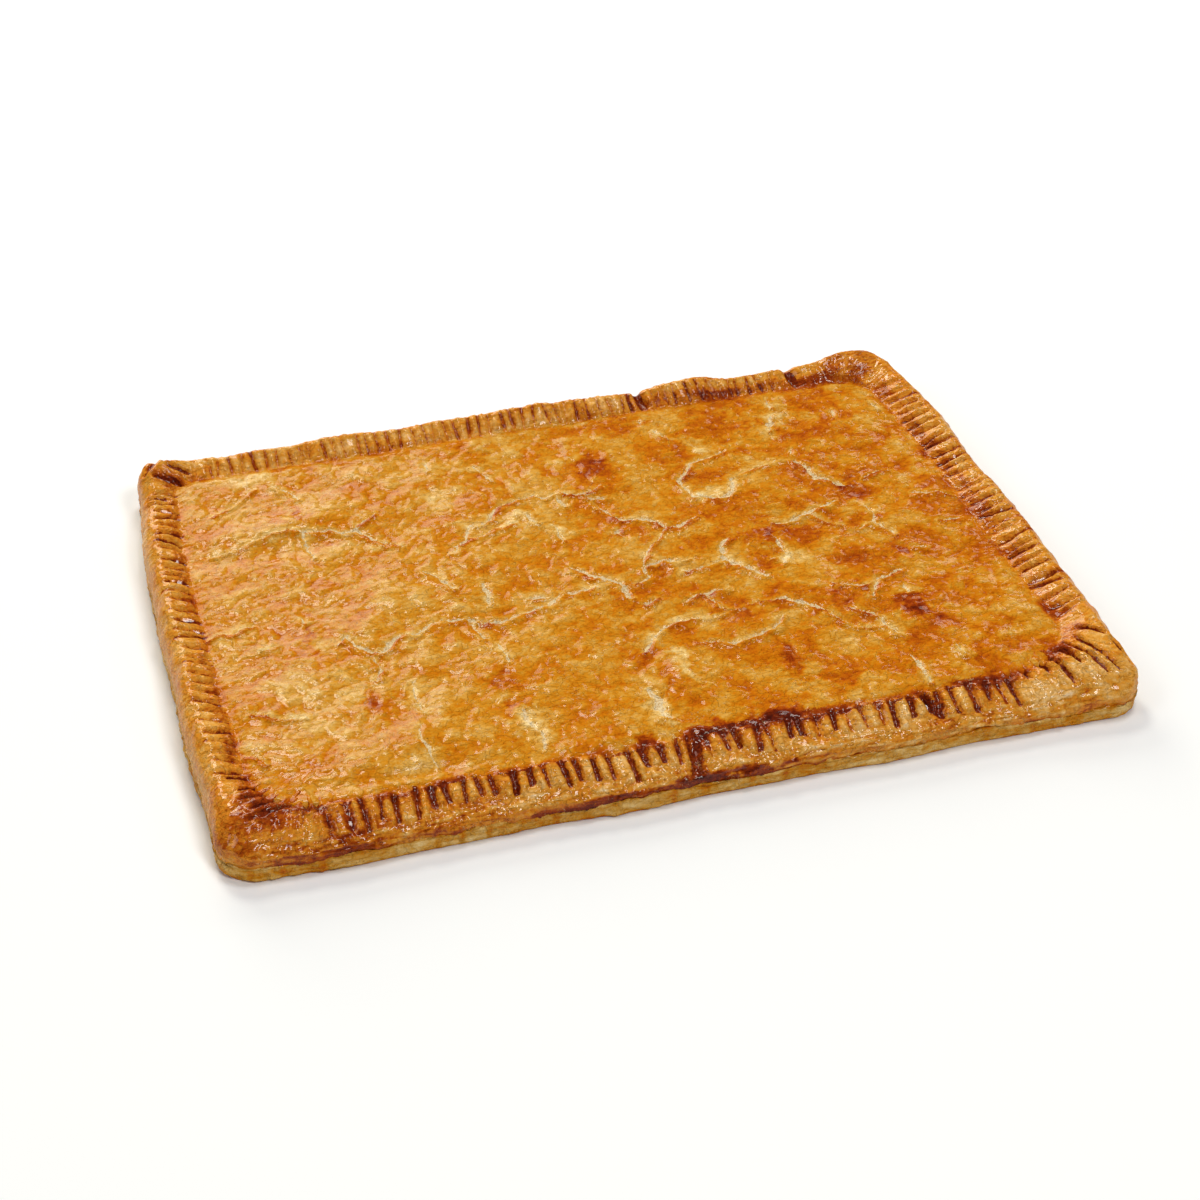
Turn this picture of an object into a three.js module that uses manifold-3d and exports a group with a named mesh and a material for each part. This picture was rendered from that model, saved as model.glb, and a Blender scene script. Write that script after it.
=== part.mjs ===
// A tray-baked rectangular empanada: a flat pie whose bottom sheet is folded over the lid all round
// and pressed with a fork, baked until the lid blistered and cracked.
// Millimetres, +Z up. The origin is on the base, under the middle of the outline.
import * as THREE from "three";
import Module from "manifold-3d";

// Driving dimensions
const LENGTH = 400;
const WIDTH = 292;
const OUTER_RADIUS = { frontLeft: 18, frontRight: 14, backRight: 19, backLeft: 9 };
const LID_RADIUS = { frontLeft: 26, frontRight: 34, backRight: 15, backLeft: 10 };
const NARROWING = { leftShare: 0.036, leftFrom: 20, rightShare: 0.035, rightFrom: 85 };
const LIP_INSET = { front: 17, right: 19.8, back: 16.5, left: 17.3 };
const LID_EDGE_HEIGHT = 17.8;
const LID_RISE = 2.2;
const LID_RISE_REACH = 7;
const LID_DOME = 1.2;
const LID_STEP = 9;
const LID_CLEARANCE = 0.4;
const SMALLEST_RADIUS = 2;
const FORK_PITCH = { front: 6.9, right: 6.6, back: 5.8, left: 6.9 };
const FORK_DEPTH = 2;
const FORK_MARK_SHARE = 0.3;
const CORNER_STEP = 7;
const CRACK_DEPTH = 1.5;
const CRACK_CLEARANCE = 2;
const LIFT_FROM = 8;
const LIFT_FULL = 20;
const RIGHT_LEAN = 1.6;

// Corners in the order of the walk round the pie, each after the side named first
const CORNERS = [
  { name: "frontRight", before: "front", after: "right", signX: 1, signY: -1, facing: -Math.PI / 2 },
  { name: "backRight", before: "right", after: "back", signX: 1, signY: 1, facing: 0 },
  { name: "backLeft", before: "back", after: "left", signX: -1, signY: 1, facing: Math.PI / 2 },
  { name: "frontLeft", before: "left", after: "front", signX: -1, signY: -1, facing: Math.PI },
];

// Section of the lower sheet's edge, from the base up to the seam under the fold
const LOWER_SECTION = [
  { inset: 1, height: 0 },
  { inset: 0, height: 1.6 },
  { inset: 0.5, height: 5.4 },
  { inset: 2.6, height: 6.6 },
];

// Section of the fold on each side, from the seam out, over and in to the lip, with the depth of its marks
const FOLD_SECTION = {
  front: [
    { inset: 0.3, height: 7.4 },
    { inset: 0.2, height: 9.8 },
    { inset: 2.3, height: 12.4, mark: 1 },
    { inset: 6.4, height: 15, mark: 1 },
    { inset: 11.4, height: 17.2, mark: 1 },
    { inset: 16.3, height: 18.6, mark: 0.8 },
  ],
  right: [
    { inset: 0.3, height: 8 },
    { inset: 0, height: 13.5 },
    { inset: 1.7, height: 19.6, mark: 0.1 },
    { inset: 5.8, height: 23.6, mark: 0.8 },
    { inset: 10.4, height: 22.2, mark: 1 },
    { inset: 18.4, height: 18.8, mark: 0.6 },
  ],
  back: [
    { inset: 0.3, height: 8 },
    { inset: 0, height: 13.5 },
    { inset: 1.6, height: 19.6, mark: 0.1 },
    { inset: 5.2, height: 23.4, mark: 0.8 },
    { inset: 9.4, height: 22, mark: 1 },
    { inset: 15.4, height: 18.9, mark: 0.6 },
  ],
  left: [
    { inset: 0.3, height: 8 },
    { inset: 0, height: 13.5 },
    { inset: 1.6, height: 19.6, mark: 0.1 },
    { inset: 5.6, height: 23.4, mark: 0.8 },
    { inset: 10.2, height: 21.8, mark: 1 },
    { inset: 16.3, height: 18.9, mark: 0.6 },
  ],
};
const FIRST_MARKED_STATION = 2;

// Where the crest stands above or below its usual height: the raised back right corner,
// swells of the rolled dough, and dips where one fold laps over the next
const CREST_SWELLS = [
  { x: 176, y: 138, reach: 20, lift: 4.6 },
  { x: 20, y: 140, reach: 26, lift: 1.7 },
  { x: 90, y: 140, reach: 17, lift: 1.9 },
  { x: 60, y: 138, reach: 6, lift: -2.4 },
  { x: 140, y: 138, reach: 6, lift: -2.6 },
  { x: -148, y: 138, reach: 20, lift: -1.2 },
  { x: -186, y: 136, reach: 11, lift: 2.2 },
  { x: -193, y: 112, reach: 6, lift: -1.8 },
  { x: -5, y: -138, reach: 6, lift: -1.4 },
  { x: 106, y: -138, reach: 7, lift: -1 },
  { x: 176, y: -130, reach: 20, lift: 1.6 },
  { x: -180, y: -130, reach: 18, lift: 1.4 },
  { x: 194, y: 78, reach: 14, lift: 1 },
];

// Broad swells and hollows of the lid
const LID_SWELLS = [
  { x: -138, y: 74, alongX: 34, alongY: 9, lift: 1.5 },
  { x: -140, y: 55, alongX: 36, alongY: 7, lift: -0.9 },
  { x: -152, y: 101, alongX: 12, alongY: 7, lift: -0.8 },
  { x: -120, y: -119, alongX: 36, alongY: 6, lift: -1 },
  { x: -110, y: -100, alongX: 44, alongY: 12, lift: 1.1 },
  { x: 12, y: -80, alongX: 9, alongY: 24, lift: 1.4 },
  { x: 22, y: 80, alongX: 13, alongY: 15, lift: 1.2 },
  { x: 76, y: 1, alongX: 12, alongY: 10, lift: 1.1 },
  { x: 121, y: -66, alongX: 13, alongY: 14, lift: 1.3 },
  { x: 52, y: -58, alongX: 14, alongY: 11, lift: 1 },
  { x: 100, y: 34, alongX: 26, alongY: 20, lift: 0.9 },
  { x: -95, y: 6, alongX: 30, alongY: 22, lift: 0.8 },
  { x: -40, y: 76, alongX: 20, alongY: 24, lift: 0.8 },
  { x: 150, y: 78, alongX: 14, alongY: 22, lift: 1 },
  { x: -38, y: -80, alongX: 18, alongY: 26, lift: 0.8 },
];

// Cracks across the lid: width, and the points the crack runs through
const CRACKS = [
  { width: 3, route: [[-127, -26], [-122, -21], [-120, -28], [-112, -35], [-104, -30], [-90, -27]] },
  { width: 3, route: [[-90, -27], [-86, -21], [-69, -22], [-64, -26], [-55, -29], [-40, -25], [-29, -21]] },
  { width: 2.6, route: [[-39, -16], [-30, -18], [-19, -17], [-1, -15]] },
  { width: 2.6, route: [[-132, 70], [-124, 65], [-112, 64], [-106, 60], [-95, 53], [-83, 41]] },
  { width: 2, route: [[-125, 64], [-125, 55], [-124, 43]] },
  { width: 2, route: [[-131, 112], [-122, 100], [-121, 94]] },
  { width: 2, route: [[-80, 18], [-75, 14], [-71, 5], [-68, -2]] },
  { width: 2.4, route: [[-64, 28], [-60, 35], [-53, 38], [-50, 49], [-40, 50], [-33, 59], [-20, 66]] },
  { width: 2.4, route: [[-20, 67], [-10, 63], [6, 60], [13, 61], [19, 65]] },
  { width: 2, route: [[-35, 102], [-33, 94], [-28, 82]] },
  { width: 2, route: [[-26, 54], [-22, 49], [-18, 40]] },
  { width: 2.6, route: [[9, 52], [15, 44], [18, 35], [30, 30], [41, 20], [53, 26]] },
  { width: 3, route: [[-15, 3], [-9, -4], [0, -12], [4, -20], [5, -31]] },
  { width: 2.4, route: [[9, -20], [17, -14], [18, -7], [27, -5], [40, -7]] },
  { width: 2.6, route: [[26, -39], [33, -34], [50, -32]] },
  { width: 3, route: [[62, 6], [56, -2], [55, -10], [60, -18], [70, -30]] },
  { width: 2.4, route: [[33, -15], [42, -15], [55, -12]] },
  { width: 3.4, route: [[57, -47], [70, -48], [78, -53], [85, -61]] },
  { width: 2.4, route: [[-1, -70], [4, -60], [17, -52], [32, -52]] },
  { width: 2.4, route: [[21, -67], [31, -70], [42, -74], [56, -69], [66, -59]] },
  { width: 3, route: [[86, 80], [67, 74], [55, 58], [58, 44], [70, 37], [78, 44], [79, 53]] },
  { width: 3.6, route: [[112, 62], [116, 55], [119, 42], [127, 37], [131, 31]] },
  { width: 3.6, route: [[127, 107], [119, 105], [116, 97], [112, 87]] },
  { width: 2.4, route: [[84, 12], [97, 12], [110, 17], [123, 23]] },
  { width: 2.2, route: [[139, 35], [146, 39], [160, 38]] },
  { width: 2.4, route: [[157, 17], [167, 15], [177, 9]] },
  { width: 2.2, route: [[133, 14], [132, -1], [138, -15]] },
  { width: 2.6, route: [[106, -60], [112, -50], [119, -44], [131, -40]] },
  { width: 2.2, route: [[93, -42], [104, -47], [110, -49]] },
  { width: 2.2, route: [[93, -61], [104, -69], [105, -79], [110, -89]] },
  { width: 2.8, route: [[108, -100], [109, -108], [108, -121]] },
  { width: 3, route: [[-9, -91], [-7, -103], [-6, -117]] },
  { width: 2.4, route: [[-62, -90], [-62, -100], [-59, -108], [-60, -119]] },
  { width: 2, route: [[-60, -43], [-61, -53], [-59, -61]] },
  { width: 2, route: [[-106, -90], [-108, -100], [-106, -117]] },
];

const lerp = THREE.MathUtils.lerp;
const smoothstep = THREE.MathUtils.smoothstep;

// A steady value from -1 to 1 for each mark, the same on every run
function scatter(index, salt) {
  const wave = Math.sin(index * 12.9898 + salt * 78.233) * 43758.5453;
  return 2 * (wave - Math.floor(wave)) - 1;
}

// How far a corner reaches along the side before it and the side after it, and its length along the outline
function cornerReach(corner) {
  const before = LIP_INSET[corner.after] + LID_RADIUS[corner.name];
  const after = LIP_INSET[corner.before] + LID_RADIUS[corner.name];
  const radius = OUTER_RADIUS[corner.name];
  return { before, after, radius, length: before + after - 2 * radius + (Math.PI / 2) * radius };
}

// Point of the outline at a share of the way round a corner: straight, round the arc and straight again
function outerCornerPoint(corner, share) {
  const { before, after, radius, length } = cornerReach(corner);
  const walked = share * length;
  const straight = before - radius;
  const turned = THREE.MathUtils.clamp((walked - straight) / radius, 0, Math.PI / 2);
  const ahead = Math.min(walked, straight) + radius * Math.sin(turned) - before;
  const last = Math.max(0, walked - straight - (Math.PI / 2) * radius);
  const across = last + radius * (1 - Math.cos(turned));
  const alongX = -Math.sin(corner.facing);
  const alongY = Math.cos(corner.facing);
  const x = corner.signX * LENGTH / 2 + ahead * alongX - across * alongY;
  const y = corner.signY * WIDTH / 2 + ahead * alongY + across * alongX;
  return new THREE.Vector2(x, y);
}

// Point of the lip, or of a ring a distance in from it, at a share of the way round a corner
function lidCornerPoint(corner, share, distance) {
  const sideX = corner.signX < 0 ? "left" : "right";
  const sideY = corner.signY < 0 ? "front" : "back";
  const radius = Math.max(LID_RADIUS[corner.name] - distance, SMALLEST_RADIUS);
  const middleX = corner.signX * (LENGTH / 2 - LIP_INSET[sideX] - distance - radius);
  const middleY = corner.signY * (WIDTH / 2 - LIP_INSET[sideY] - distance - radius);
  const angle = corner.facing + (share * Math.PI) / 2;
  return new THREE.Vector2(middleX + radius * Math.cos(angle), middleY + radius * Math.sin(angle));
}

// The walk round the pie: each side from the corner before it, then the corner after it
const RUNS = CORNERS.map((corner, k) => {
  const previous = CORNERS[(k + 3) % 4];
  const sideLength = outerCornerPoint(previous, 1).distanceTo(outerCornerPoint(corner, 0));
  return { corner, previous, sideLength, length: sideLength + cornerReach(corner).length };
});
const PERIMETER = RUNS.reduce((sum, run) => sum + run.length, 0);

// Place at a distance along the walk: its run, and how far along the side or round the corner it is
function placeAt(walked) {
  let left = walked;
  let k = 0;
  while (k < 3 && left >= RUNS[k].length) {
    left -= RUNS[k].length;
    k += 1;
  }
  const run = RUNS[k];
  const onSide = left < run.sideLength;
  const along = onSide ? left / run.sideLength : (left - run.sideLength) / cornerReach(run.corner).length;
  return { run, onSide, along, share: walked / PERIMETER };
}

function outerPoint({ run, onSide, along }) {
  if (!onSide) return outerCornerPoint(run.corner, along);
  return outerCornerPoint(run.previous, 1).lerp(outerCornerPoint(run.corner, 0), along);
}

function lidPoint({ run, onSide, along }, distance) {
  if (!onSide) return lidCornerPoint(run.corner, along, distance);
  return lidCornerPoint(run.previous, 1, distance).lerp(lidCornerPoint(run.corner, 0, distance), along);
}

// A value that differs from side to side, blended round the corners
function blended({ run, onSide, along }, valueOf) {
  if (onSide) return valueOf(run.corner.before);
  return lerp(valueOf(run.corner.before), valueOf(run.corner.after), smoothstep(along, 0.1, 0.9));
}

// How much the outline draws in towards the back, on the left and on the right
function narrowing(x, y) {
  if (x < 0) return 1 - NARROWING.leftShare * smoothstep(y, NARROWING.leftFrom, WIDTH / 2);
  return 1 - NARROWING.rightShare * smoothstep(y, NARROWING.rightFrom, WIDTH / 2);
}

// How far the hand-rolled edge wanders in from the straight outline
function edgeWander(x, y) {
  return 1 + 0.6 * Math.sin(x / 17 + y / 23) + 0.4 * Math.sin(x / 9.3 - y / 11.7 + 2);
}

function crestLift(x, y) {
  let lift = 0.5 * Math.sin(x / 13 + y / 19 + 1) + 0.4 * Math.sin(x / 7.1 - y / 8.3);
  for (const swell of CREST_SWELLS) {
    const away = Math.hypot(x - swell.x, y - swell.y) / swell.reach;
    lift += swell.lift * Math.exp(-away * away);
  }
  return lift;
}

// Distance in from the lip, which wanders in by about a millimetre
function insideLip(x, y) {
  const awayX = x / narrowing(x, y) - (LIP_INSET.left - LIP_INSET.right) / 2;
  const awayY = y - (LIP_INSET.front - LIP_INSET.back) / 2;
  const halfX = LENGTH / 2 - (LIP_INSET.left + LIP_INSET.right) / 2 - 1;
  const halfY = WIDTH / 2 - (LIP_INSET.front + LIP_INSET.back) / 2 - 1;
  const corner = CORNERS.find(({ signX, signY }) => signX * awayX >= 0 && signY * awayY >= 0);
  const radius = LID_RADIUS[corner.name];
  const pastX = Math.abs(awayX) - halfX + radius;
  const pastY = Math.abs(awayY) - halfY + radius;
  const round = Math.hypot(Math.max(pastX, 0), Math.max(pastY, 0));
  return radius - round - Math.min(Math.max(pastX, pastY), 0);
}

// Height of the lid: a gentle dome with swells, dropping where it goes under the fold
function lidHeight(x, y) {
  const fromFold = Math.max(0, insideLip(x, y));
  const rise = smoothstep(fromFold, 0, LID_RISE_REACH);
  const dome = smoothstep(fromFold, 0, WIDTH / 2);
  let height = LID_EDGE_HEIGHT + LID_RISE * rise + LID_DOME * dome;
  height += rise * 0.45 * Math.sin(x / 8.7 + 1.3 * Math.sin(y / 21)) * Math.sin(y / 7.9 + Math.sin(x / 26));
  height += rise * 0.35 * Math.sin(x / 19 - y / 14);
  for (const swell of LID_SWELLS) {
    const awayX = (x - swell.x) / swell.alongX;
    const awayY = (y - swell.y) / swell.alongY;
    height += rise * swell.lift * Math.exp(-awayX * awayX - awayY * awayY);
  }
  return height;
}

// Point of the edge: a place round the outline, the section's station on each side, and how deep a mark is
function edgePoint(place, stationOf, pressed) {
  const height = blended(place, (side) => stationOf(side).height);
  const toLip = blended(place, (side) => stationOf(side).inset / LIP_INSET[side]);
  const depth = FORK_DEPTH * pressed * blended(place, (side) => stationOf(side).mark ?? 0);
  const outer = outerPoint(place);
  const lip = lidPoint(place, 0);
  const out = outer.clone().sub(lip).normalize();
  const edge = outer.lerp(lip, toLip);
  edge.x *= narrowing(edge.x, edge.y);
  const lifted = smoothstep(height, LIFT_FROM, LIFT_FULL);
  const onTop = smoothstep(toLip, 0, 0.35);
  const lean = RIGHT_LEAN * Math.max(0, out.x) * lifted;
  const inward = edgeWander(edge.x, edge.y) - lean + depth * (1 - onTop);
  const z = height + lifted * crestLift(edge.x, edge.y) - depth * onTop;
  return new THREE.Vector3(edge.x - out.x * inward, edge.y - out.y * inward, z);
}

// Round the outline: one plain place for each fork mark, and three round its groove, with corners left plain
const plainPlaces = [];
const markedPlaces = [];
let walkedBefore = 0;
RUNS.forEach(({ corner, sideLength, length }, k) => {
  const markCount = Math.round(sideLength / FORK_PITCH[corner.before]);
  const pitch = sideLength / markCount;
  for (let mark = 0; mark < markCount; mark += 1) {
    const name = mark + 100 * k;
    const centre = walkedBefore + (mark + 0.5 + 0.22 * scatter(name, 1)) * pitch;
    const pressed = THREE.MathUtils.clamp(0.78 + 0.4 * scatter(name, 2), 0.15, 1.1);
    plainPlaces.push(placeAt(walkedBefore + (mark + 0.5) * pitch));
    for (const step of [-1, 0, 1]) {
      const place = placeAt(centre + step * FORK_MARK_SHARE * pitch);
      markedPlaces.push({ ...place, pressed: step === 0 ? pressed : 0 });
    }
  }
  const cornerCount = Math.round((length - sideLength) / CORNER_STEP);
  for (let step = 0; step < cornerCount; step += 1) {
    const cornerStart = walkedBefore + sideLength;
    const pitchRound = (length - sideLength) / cornerCount;
    plainPlaces.push(placeAt(cornerStart + (step + 0.5) * pitchRound));
    for (const part of [0.25, 0.75]) {
      markedPlaces.push({ ...placeAt(cornerStart + (step + part) * pitchRound), pressed: 0 });
    }
  }
  walkedBefore += length;
});

// Loops from the base edge up the side, over the marked fold and in across the lid
function loopsOfPie() {
  const loops = [];
  const addLoop = (places, stationOf) => {
    loops.push(places.map((place) => ({
      share: place.share,
      point: edgePoint(place, stationOf, place.pressed ?? 0),
    })));
  };
  for (const station of LOWER_SECTION) addLoop(plainPlaces, () => station);
  for (let k = 0; k < FOLD_SECTION.front.length; k += 1) {
    addLoop(k < FIRST_MARKED_STATION ? plainPlaces : markedPlaces, (side) => FOLD_SECTION[side][k]);
  }
  const lidWidth = WIDTH - LIP_INSET.front - LIP_INSET.back;
  const lidPerimeter = PERIMETER - 4 * (LIP_INSET.left + LIP_INSET.front);
  const rings = Math.floor(lidWidth / 2 / LID_STEP);
  for (let ring = 0; ring < rings; ring += 1) {
    const distance = LID_CLEARANCE + ring * LID_STEP;
    const count = Math.round((lidPerimeter - 8 * distance) / LID_STEP);
    const loop = [];
    for (let k = 0; k < count; k += 1) {
      const place = placeAt(((k + 0.5) / count) * PERIMETER);
      const plan = lidPoint(place, distance);
      plan.x *= narrowing(plan.x, plan.y);
      loop.push({ share: place.share, point: new THREE.Vector3(plan.x, plan.y, lidHeight(plan.x, plan.y)) });
    }
    loops.push(loop);
  }
  return loops;
}

// Triangles between two loops, stepping along whichever lags behind
function bandBetween(lower, upper, lowerStart, upperStart, triangles) {
  const shareOf = (loop, k) => loop[k % loop.length].share + Math.floor(k / loop.length);
  let i = 0;
  let j = 0;
  while (i < lower.length || j < upper.length) {
    const lowerIndex = lowerStart + (i % lower.length);
    const upperIndex = upperStart + (j % upper.length);
    const lowerIsNext = i < lower.length
      && (j === upper.length || shareOf(lower, i + 1) <= shareOf(upper, j + 1));
    if (lowerIsNext) {
      triangles.push(lowerIndex, lowerStart + ((i + 1) % lower.length), upperIndex);
      i += 1;
    } else {
      triangles.push(lowerIndex, upperStart + ((j + 1) % upper.length), upperIndex);
      j += 1;
    }
  }
}

// Closed triangles from a stack of loops, with the first and the last one capped
function solidFromLoops(wasm, loops, firstCap, lastCap) {
  const vertices = [];
  const triangles = [];
  const starts = [];
  for (const loop of loops) {
    starts.push(vertices.length / 3);
    for (const { point } of loop) vertices.push(point.x, point.y, point.z);
  }
  for (let k = 0; k + 1 < loops.length; k += 1) {
    bandBetween(loops[k], loops[k + 1], starts[k], starts[k + 1], triangles);
  }
  const last = loops.length - 1;
  for (const [a, b, c] of firstCap(loops[0])) triangles.push(starts[0] + a, starts[0] + c, starts[0] + b);
  for (const corners of lastCap(loops[last])) triangles.push(...corners.map((k) => starts[last] + k));
  const mesh = new wasm.Mesh({
    numProp: 3,
    vertProperties: new Float32Array(vertices),
    triVerts: new Uint32Array(triangles),
  });
  return new wasm.Manifold(mesh);
}

function planCap(loop) {
  return THREE.ShapeUtils.triangulateShape(loop.map(({ point }) => new THREE.Vector2(point.x, point.y)), []);
}

function triangleCap() {
  return [[0, 1, 2]];
}

// The narrow slot left in the middle of the lid, closed by rungs from its front run to its back run
function ladderCap(loop) {
  const count = loop.length;
  const triangles = [];
  for (let low = 0, high = count - 1; low + 1 < high; low += 1, high -= 1) {
    triangles.push([low, low + 1, high]);
    if (low + 2 < high) triangles.push([low + 1, high - 1, high]);
  }
  return triangles;
}

// A wedge along a crack: a V that is deepest in the middle and runs out at both ends
function crackWedge(wasm, { width, route }) {
  const points = route.map(([x, y]) => new THREE.Vector2(x, y));
  const loops = points.map((point, k) => {
    const before = points[Math.max(0, k - 1)];
    const after = points[Math.min(points.length - 1, k + 1)];
    const along = after.clone().sub(before).normalize();
    const size = k === 0 || k === points.length - 1 ? 0.25 : 1;
    const depth = CRACK_DEPTH * size;
    const half = (width / 2) * size * ((depth + CRACK_CLEARANCE) / depth);
    const surface = lidHeight(point.x, point.y);
    const top = surface + CRACK_CLEARANCE;
    return [
      { share: 0, point: new THREE.Vector3(point.x, point.y, surface - depth) },
      { share: 1 / 3, point: new THREE.Vector3(point.x - along.y * half, point.y + along.x * half, top) },
      { share: 2 / 3, point: new THREE.Vector3(point.x + along.y * half, point.y - along.x * half, top) },
    ];
  });
  return solidFromLoops(wasm, loops, triangleCap, triangleCap);
}

async function buildPie() {
  const wasm = await Module();
  wasm.setup();
  let pie = solidFromLoops(wasm, loopsOfPie(), planCap, ladderCap);
  for (const crack of CRACKS) pie = pie.subtract(crackWedge(wasm, crack));
  const { vertProperties, triVerts } = pie.getMesh();
  const geometry = new THREE.BufferGeometry();
  geometry.setAttribute("position", new THREE.BufferAttribute(new Float32Array(vertProperties), 3));
  geometry.setIndex(new THREE.BufferAttribute(new Uint32Array(triVerts), 1));
  geometry.computeBoundingBox();
  const box = geometry.boundingBox;
  geometry.translate(-(box.min.x + box.max.x) / 2, -(box.min.y + box.max.y) / 2, -box.min.z);
  geometry.computeVertexNormals();
  return geometry;
}

const crust = new THREE.MeshStandardMaterial({ color: 0xc98a3c, roughness: 0.5, metalness: 0 });
const empanada = new THREE.Mesh(await buildPie(), crust);
empanada.name = "empanada";

const part = new THREE.Group();
part.name = "empanada_part";
part.add(empanada);

export default part;
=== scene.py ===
import math

import bpy
import numpy as np
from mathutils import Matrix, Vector


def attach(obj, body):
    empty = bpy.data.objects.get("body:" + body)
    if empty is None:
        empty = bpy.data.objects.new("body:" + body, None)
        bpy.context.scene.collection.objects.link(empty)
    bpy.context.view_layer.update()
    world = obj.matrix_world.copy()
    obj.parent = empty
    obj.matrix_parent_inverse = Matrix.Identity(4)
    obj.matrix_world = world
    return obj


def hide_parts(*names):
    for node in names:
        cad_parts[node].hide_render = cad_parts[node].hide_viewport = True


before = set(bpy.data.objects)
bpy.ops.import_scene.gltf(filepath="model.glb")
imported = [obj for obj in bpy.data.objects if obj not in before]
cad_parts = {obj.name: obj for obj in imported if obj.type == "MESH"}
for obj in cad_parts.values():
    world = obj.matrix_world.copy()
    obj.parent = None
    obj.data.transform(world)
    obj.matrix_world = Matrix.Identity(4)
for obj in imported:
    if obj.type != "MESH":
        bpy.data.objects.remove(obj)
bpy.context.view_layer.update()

# Sizes of the pie, in millimetres, as in the solid but for the lid's edge, which stands a little higher,
# and the fork marks, which are shallower on three sides
MM = 0.001
SIDES = ("front", "right", "back", "left")
LENGTH = 400.0
WIDTH = 292.0
OUTER_RADIUS = {"front_left": 18.0, "front_right": 14.0, "back_right": 19.0, "back_left": 9.0}
LID_RADIUS = {"front_left": 26.0, "front_right": 34.0, "back_right": 15.0, "back_left": 10.0}
NARROWING = {"left_share": 0.036, "left_from": 20.0, "right_share": 0.035, "right_from": 85.0}
LIP_INSET = {"front": 17.0, "right": 19.8, "back": 16.5, "left": 17.3}
FORK_PITCH = {"front": 6.9, "right": 6.6, "back": 5.8, "left": 6.9}
FORK_DEPTH = {"front": 2.0, "right": 1.2, "back": 1.2, "left": 1.0}
LID_EDGE_HEIGHT = 18.8
LID_RISE = 1.2
LID_RISE_REACH = 7.0
LID_DOME = 1.2
RIGHT_LEAN = 1.6
LIFT_FROM = 8.0
LIFT_FULL = 20.0

# How far the fold's sheet runs on over the lid, where the lid's mesh starts inside the lip, how far it dips
# under the fold, and the height of its skirt below that
LAP = 8.0
LID_START = 1.5
LID_DROP = 3.4
LID_SKIRT = 2.0

# Points of the meshes round the edge, and the step of the lid's grid
EDGE_SAMPLES = 1900
LID_STEP = 0.965

# Half of a crack's width, how far off it is felt, the turn of the lid's creases in degrees, the lean of
# the lid's relief, and the stain in the fold's creases
CRACK_HALF = 0.5
CRACK_REACH = 14.0
CREASE_TURN = 10.0
FRONT_LEAN = 0.35
CREASE_STAIN = 0.45

# Layout of the maps, as shares of a map: strips of the edge one above the other, and flat faces above them
STRIPS = 4
STRIP_SHARE = 0.7
STRIP_MARGIN = 0.03
STRIP_SPAN = 0.94
MAP_MARGIN = 0.01
MAP_SPAN = 0.98
FLAT_MARGIN = 0.02
FLAT_SPAN = 0.45
BASE_LEFT = 0.02
INSIDE_LEFT = 0.52
UNDER_LEFT = 0.1
SKIRT_MAP = ((0.02, 0.8), (0.04, 0.8), (0.04, 0.82), (0.02, 0.82))

# Values of the fields where there is no mark and no crack
UNMARKED = -5.0
NO_MARK_GAP = 99.0
NO_CRACK_ASIDE = 40.0
NO_CRACK_OPENED = -10.0

# Corners in the order of the walk: the side before, the side after, the name, the signs of x and y,
# and the way the side before faces
CORNERS = (
    ("front", "right", "front_right", (1, -1), -90.0),
    ("right", "back", "back_right", (1, 1), 0.0),
    ("back", "left", "back_left", (-1, 1), 90.0),
    ("left", "front", "front_left", (-1, -1), 180.0),
)

# Section of the lower sheet's edge: inset and height, with the mesh rows from each station to the next
LOWER_SECTION = [
    (1.0, 0.0), (0.15, 0.8), (0.0, 2.4), (0.05, 4.4), (0.1, 5.9), (0.5, 7.0), (9.0, 8.2),
]
LOWER_ROWS = (3, 3, 4, 3, 3, 2)

# Section of the fold on each side, from its lower edge out, over and in to the lip:
# inset, height, and how deep the fork marks are there
TALL_WALL = [(11, 8, 0), (3, 7.2, 0), (0.7, 7.0, 0), (0.1, 8.6, 0), (0, 13.5, 0)]
FOLD_SECTION = {
    "front": [
        (11, 8, 0), (3, 6.5, 0), (0.7, 6.5, 0), (0.1, 7.7, 0), (0.2, 9.8, 0.3),
        (2.3, 12.4, 1), (6.4, 15.0, 1), (11.4, 17.2, 1), (15.4, 18.3, 1), (17, 18.5, 0.8),
    ],
    "right": TALL_WALL + [
        (1.7, 19.6, 0), (5.8, 23.6, 0.35), (10.4, 22.4, 1), (15.6, 20.4, 1), (19.8, 19.0, 0.6),
    ],
    "back": TALL_WALL + [
        (1.6, 19.6, 0), (5.2, 23.4, 0.35), (9.4, 22.2, 1), (14, 20.1, 1), (16.5, 19.0, 0.6),
    ],
    "left": TALL_WALL + [
        (1.6, 19.6, 0), (5.6, 23.4, 0.35), (10.2, 22.0, 1), (15.4, 19.7, 1), (17.3, 18.9, 0.6),
    ],
}

# Where the fold's sheet runs on over the lid and then under it: past the lip, above the lid's edge, marks
LAP_SECTION = [(3.5, 0.3, 0.0), (LAP, 0.9, 0.0), (LAP - 0.5, -2.0, 0.0), (-4.0, -5.0, 0.0)]
FOLD_ROWS = (1, 1, 2, 3, 5, 7, 8, 8, 4, 5, 5, 1, 1)
LAP_ROWS = slice(sum(FOLD_ROWS[:8]), sum(FOLD_ROWS[:11]) + 1)

# Where the crest stands above or below its usual height: x, y, reach, lift
CREST_SWELLS = [
    (176, 138, 20, 4.6), (20, 140, 26, 1.7), (90, 140, 17, 1.9), (60, 138, 6, -2.4), (140, 138, 6, -2.6),
    (-148, 138, 20, -1.2), (-186, 136, 11, 2.2), (-193, 112, 6, -1.8), (-5, -138, 6, -1.4),
    (106, -138, 7, -1.0), (176, -130, 20, 1.6), (-180, -130, 18, 1.4), (194, 78, 14, 1.0),
]

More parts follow.
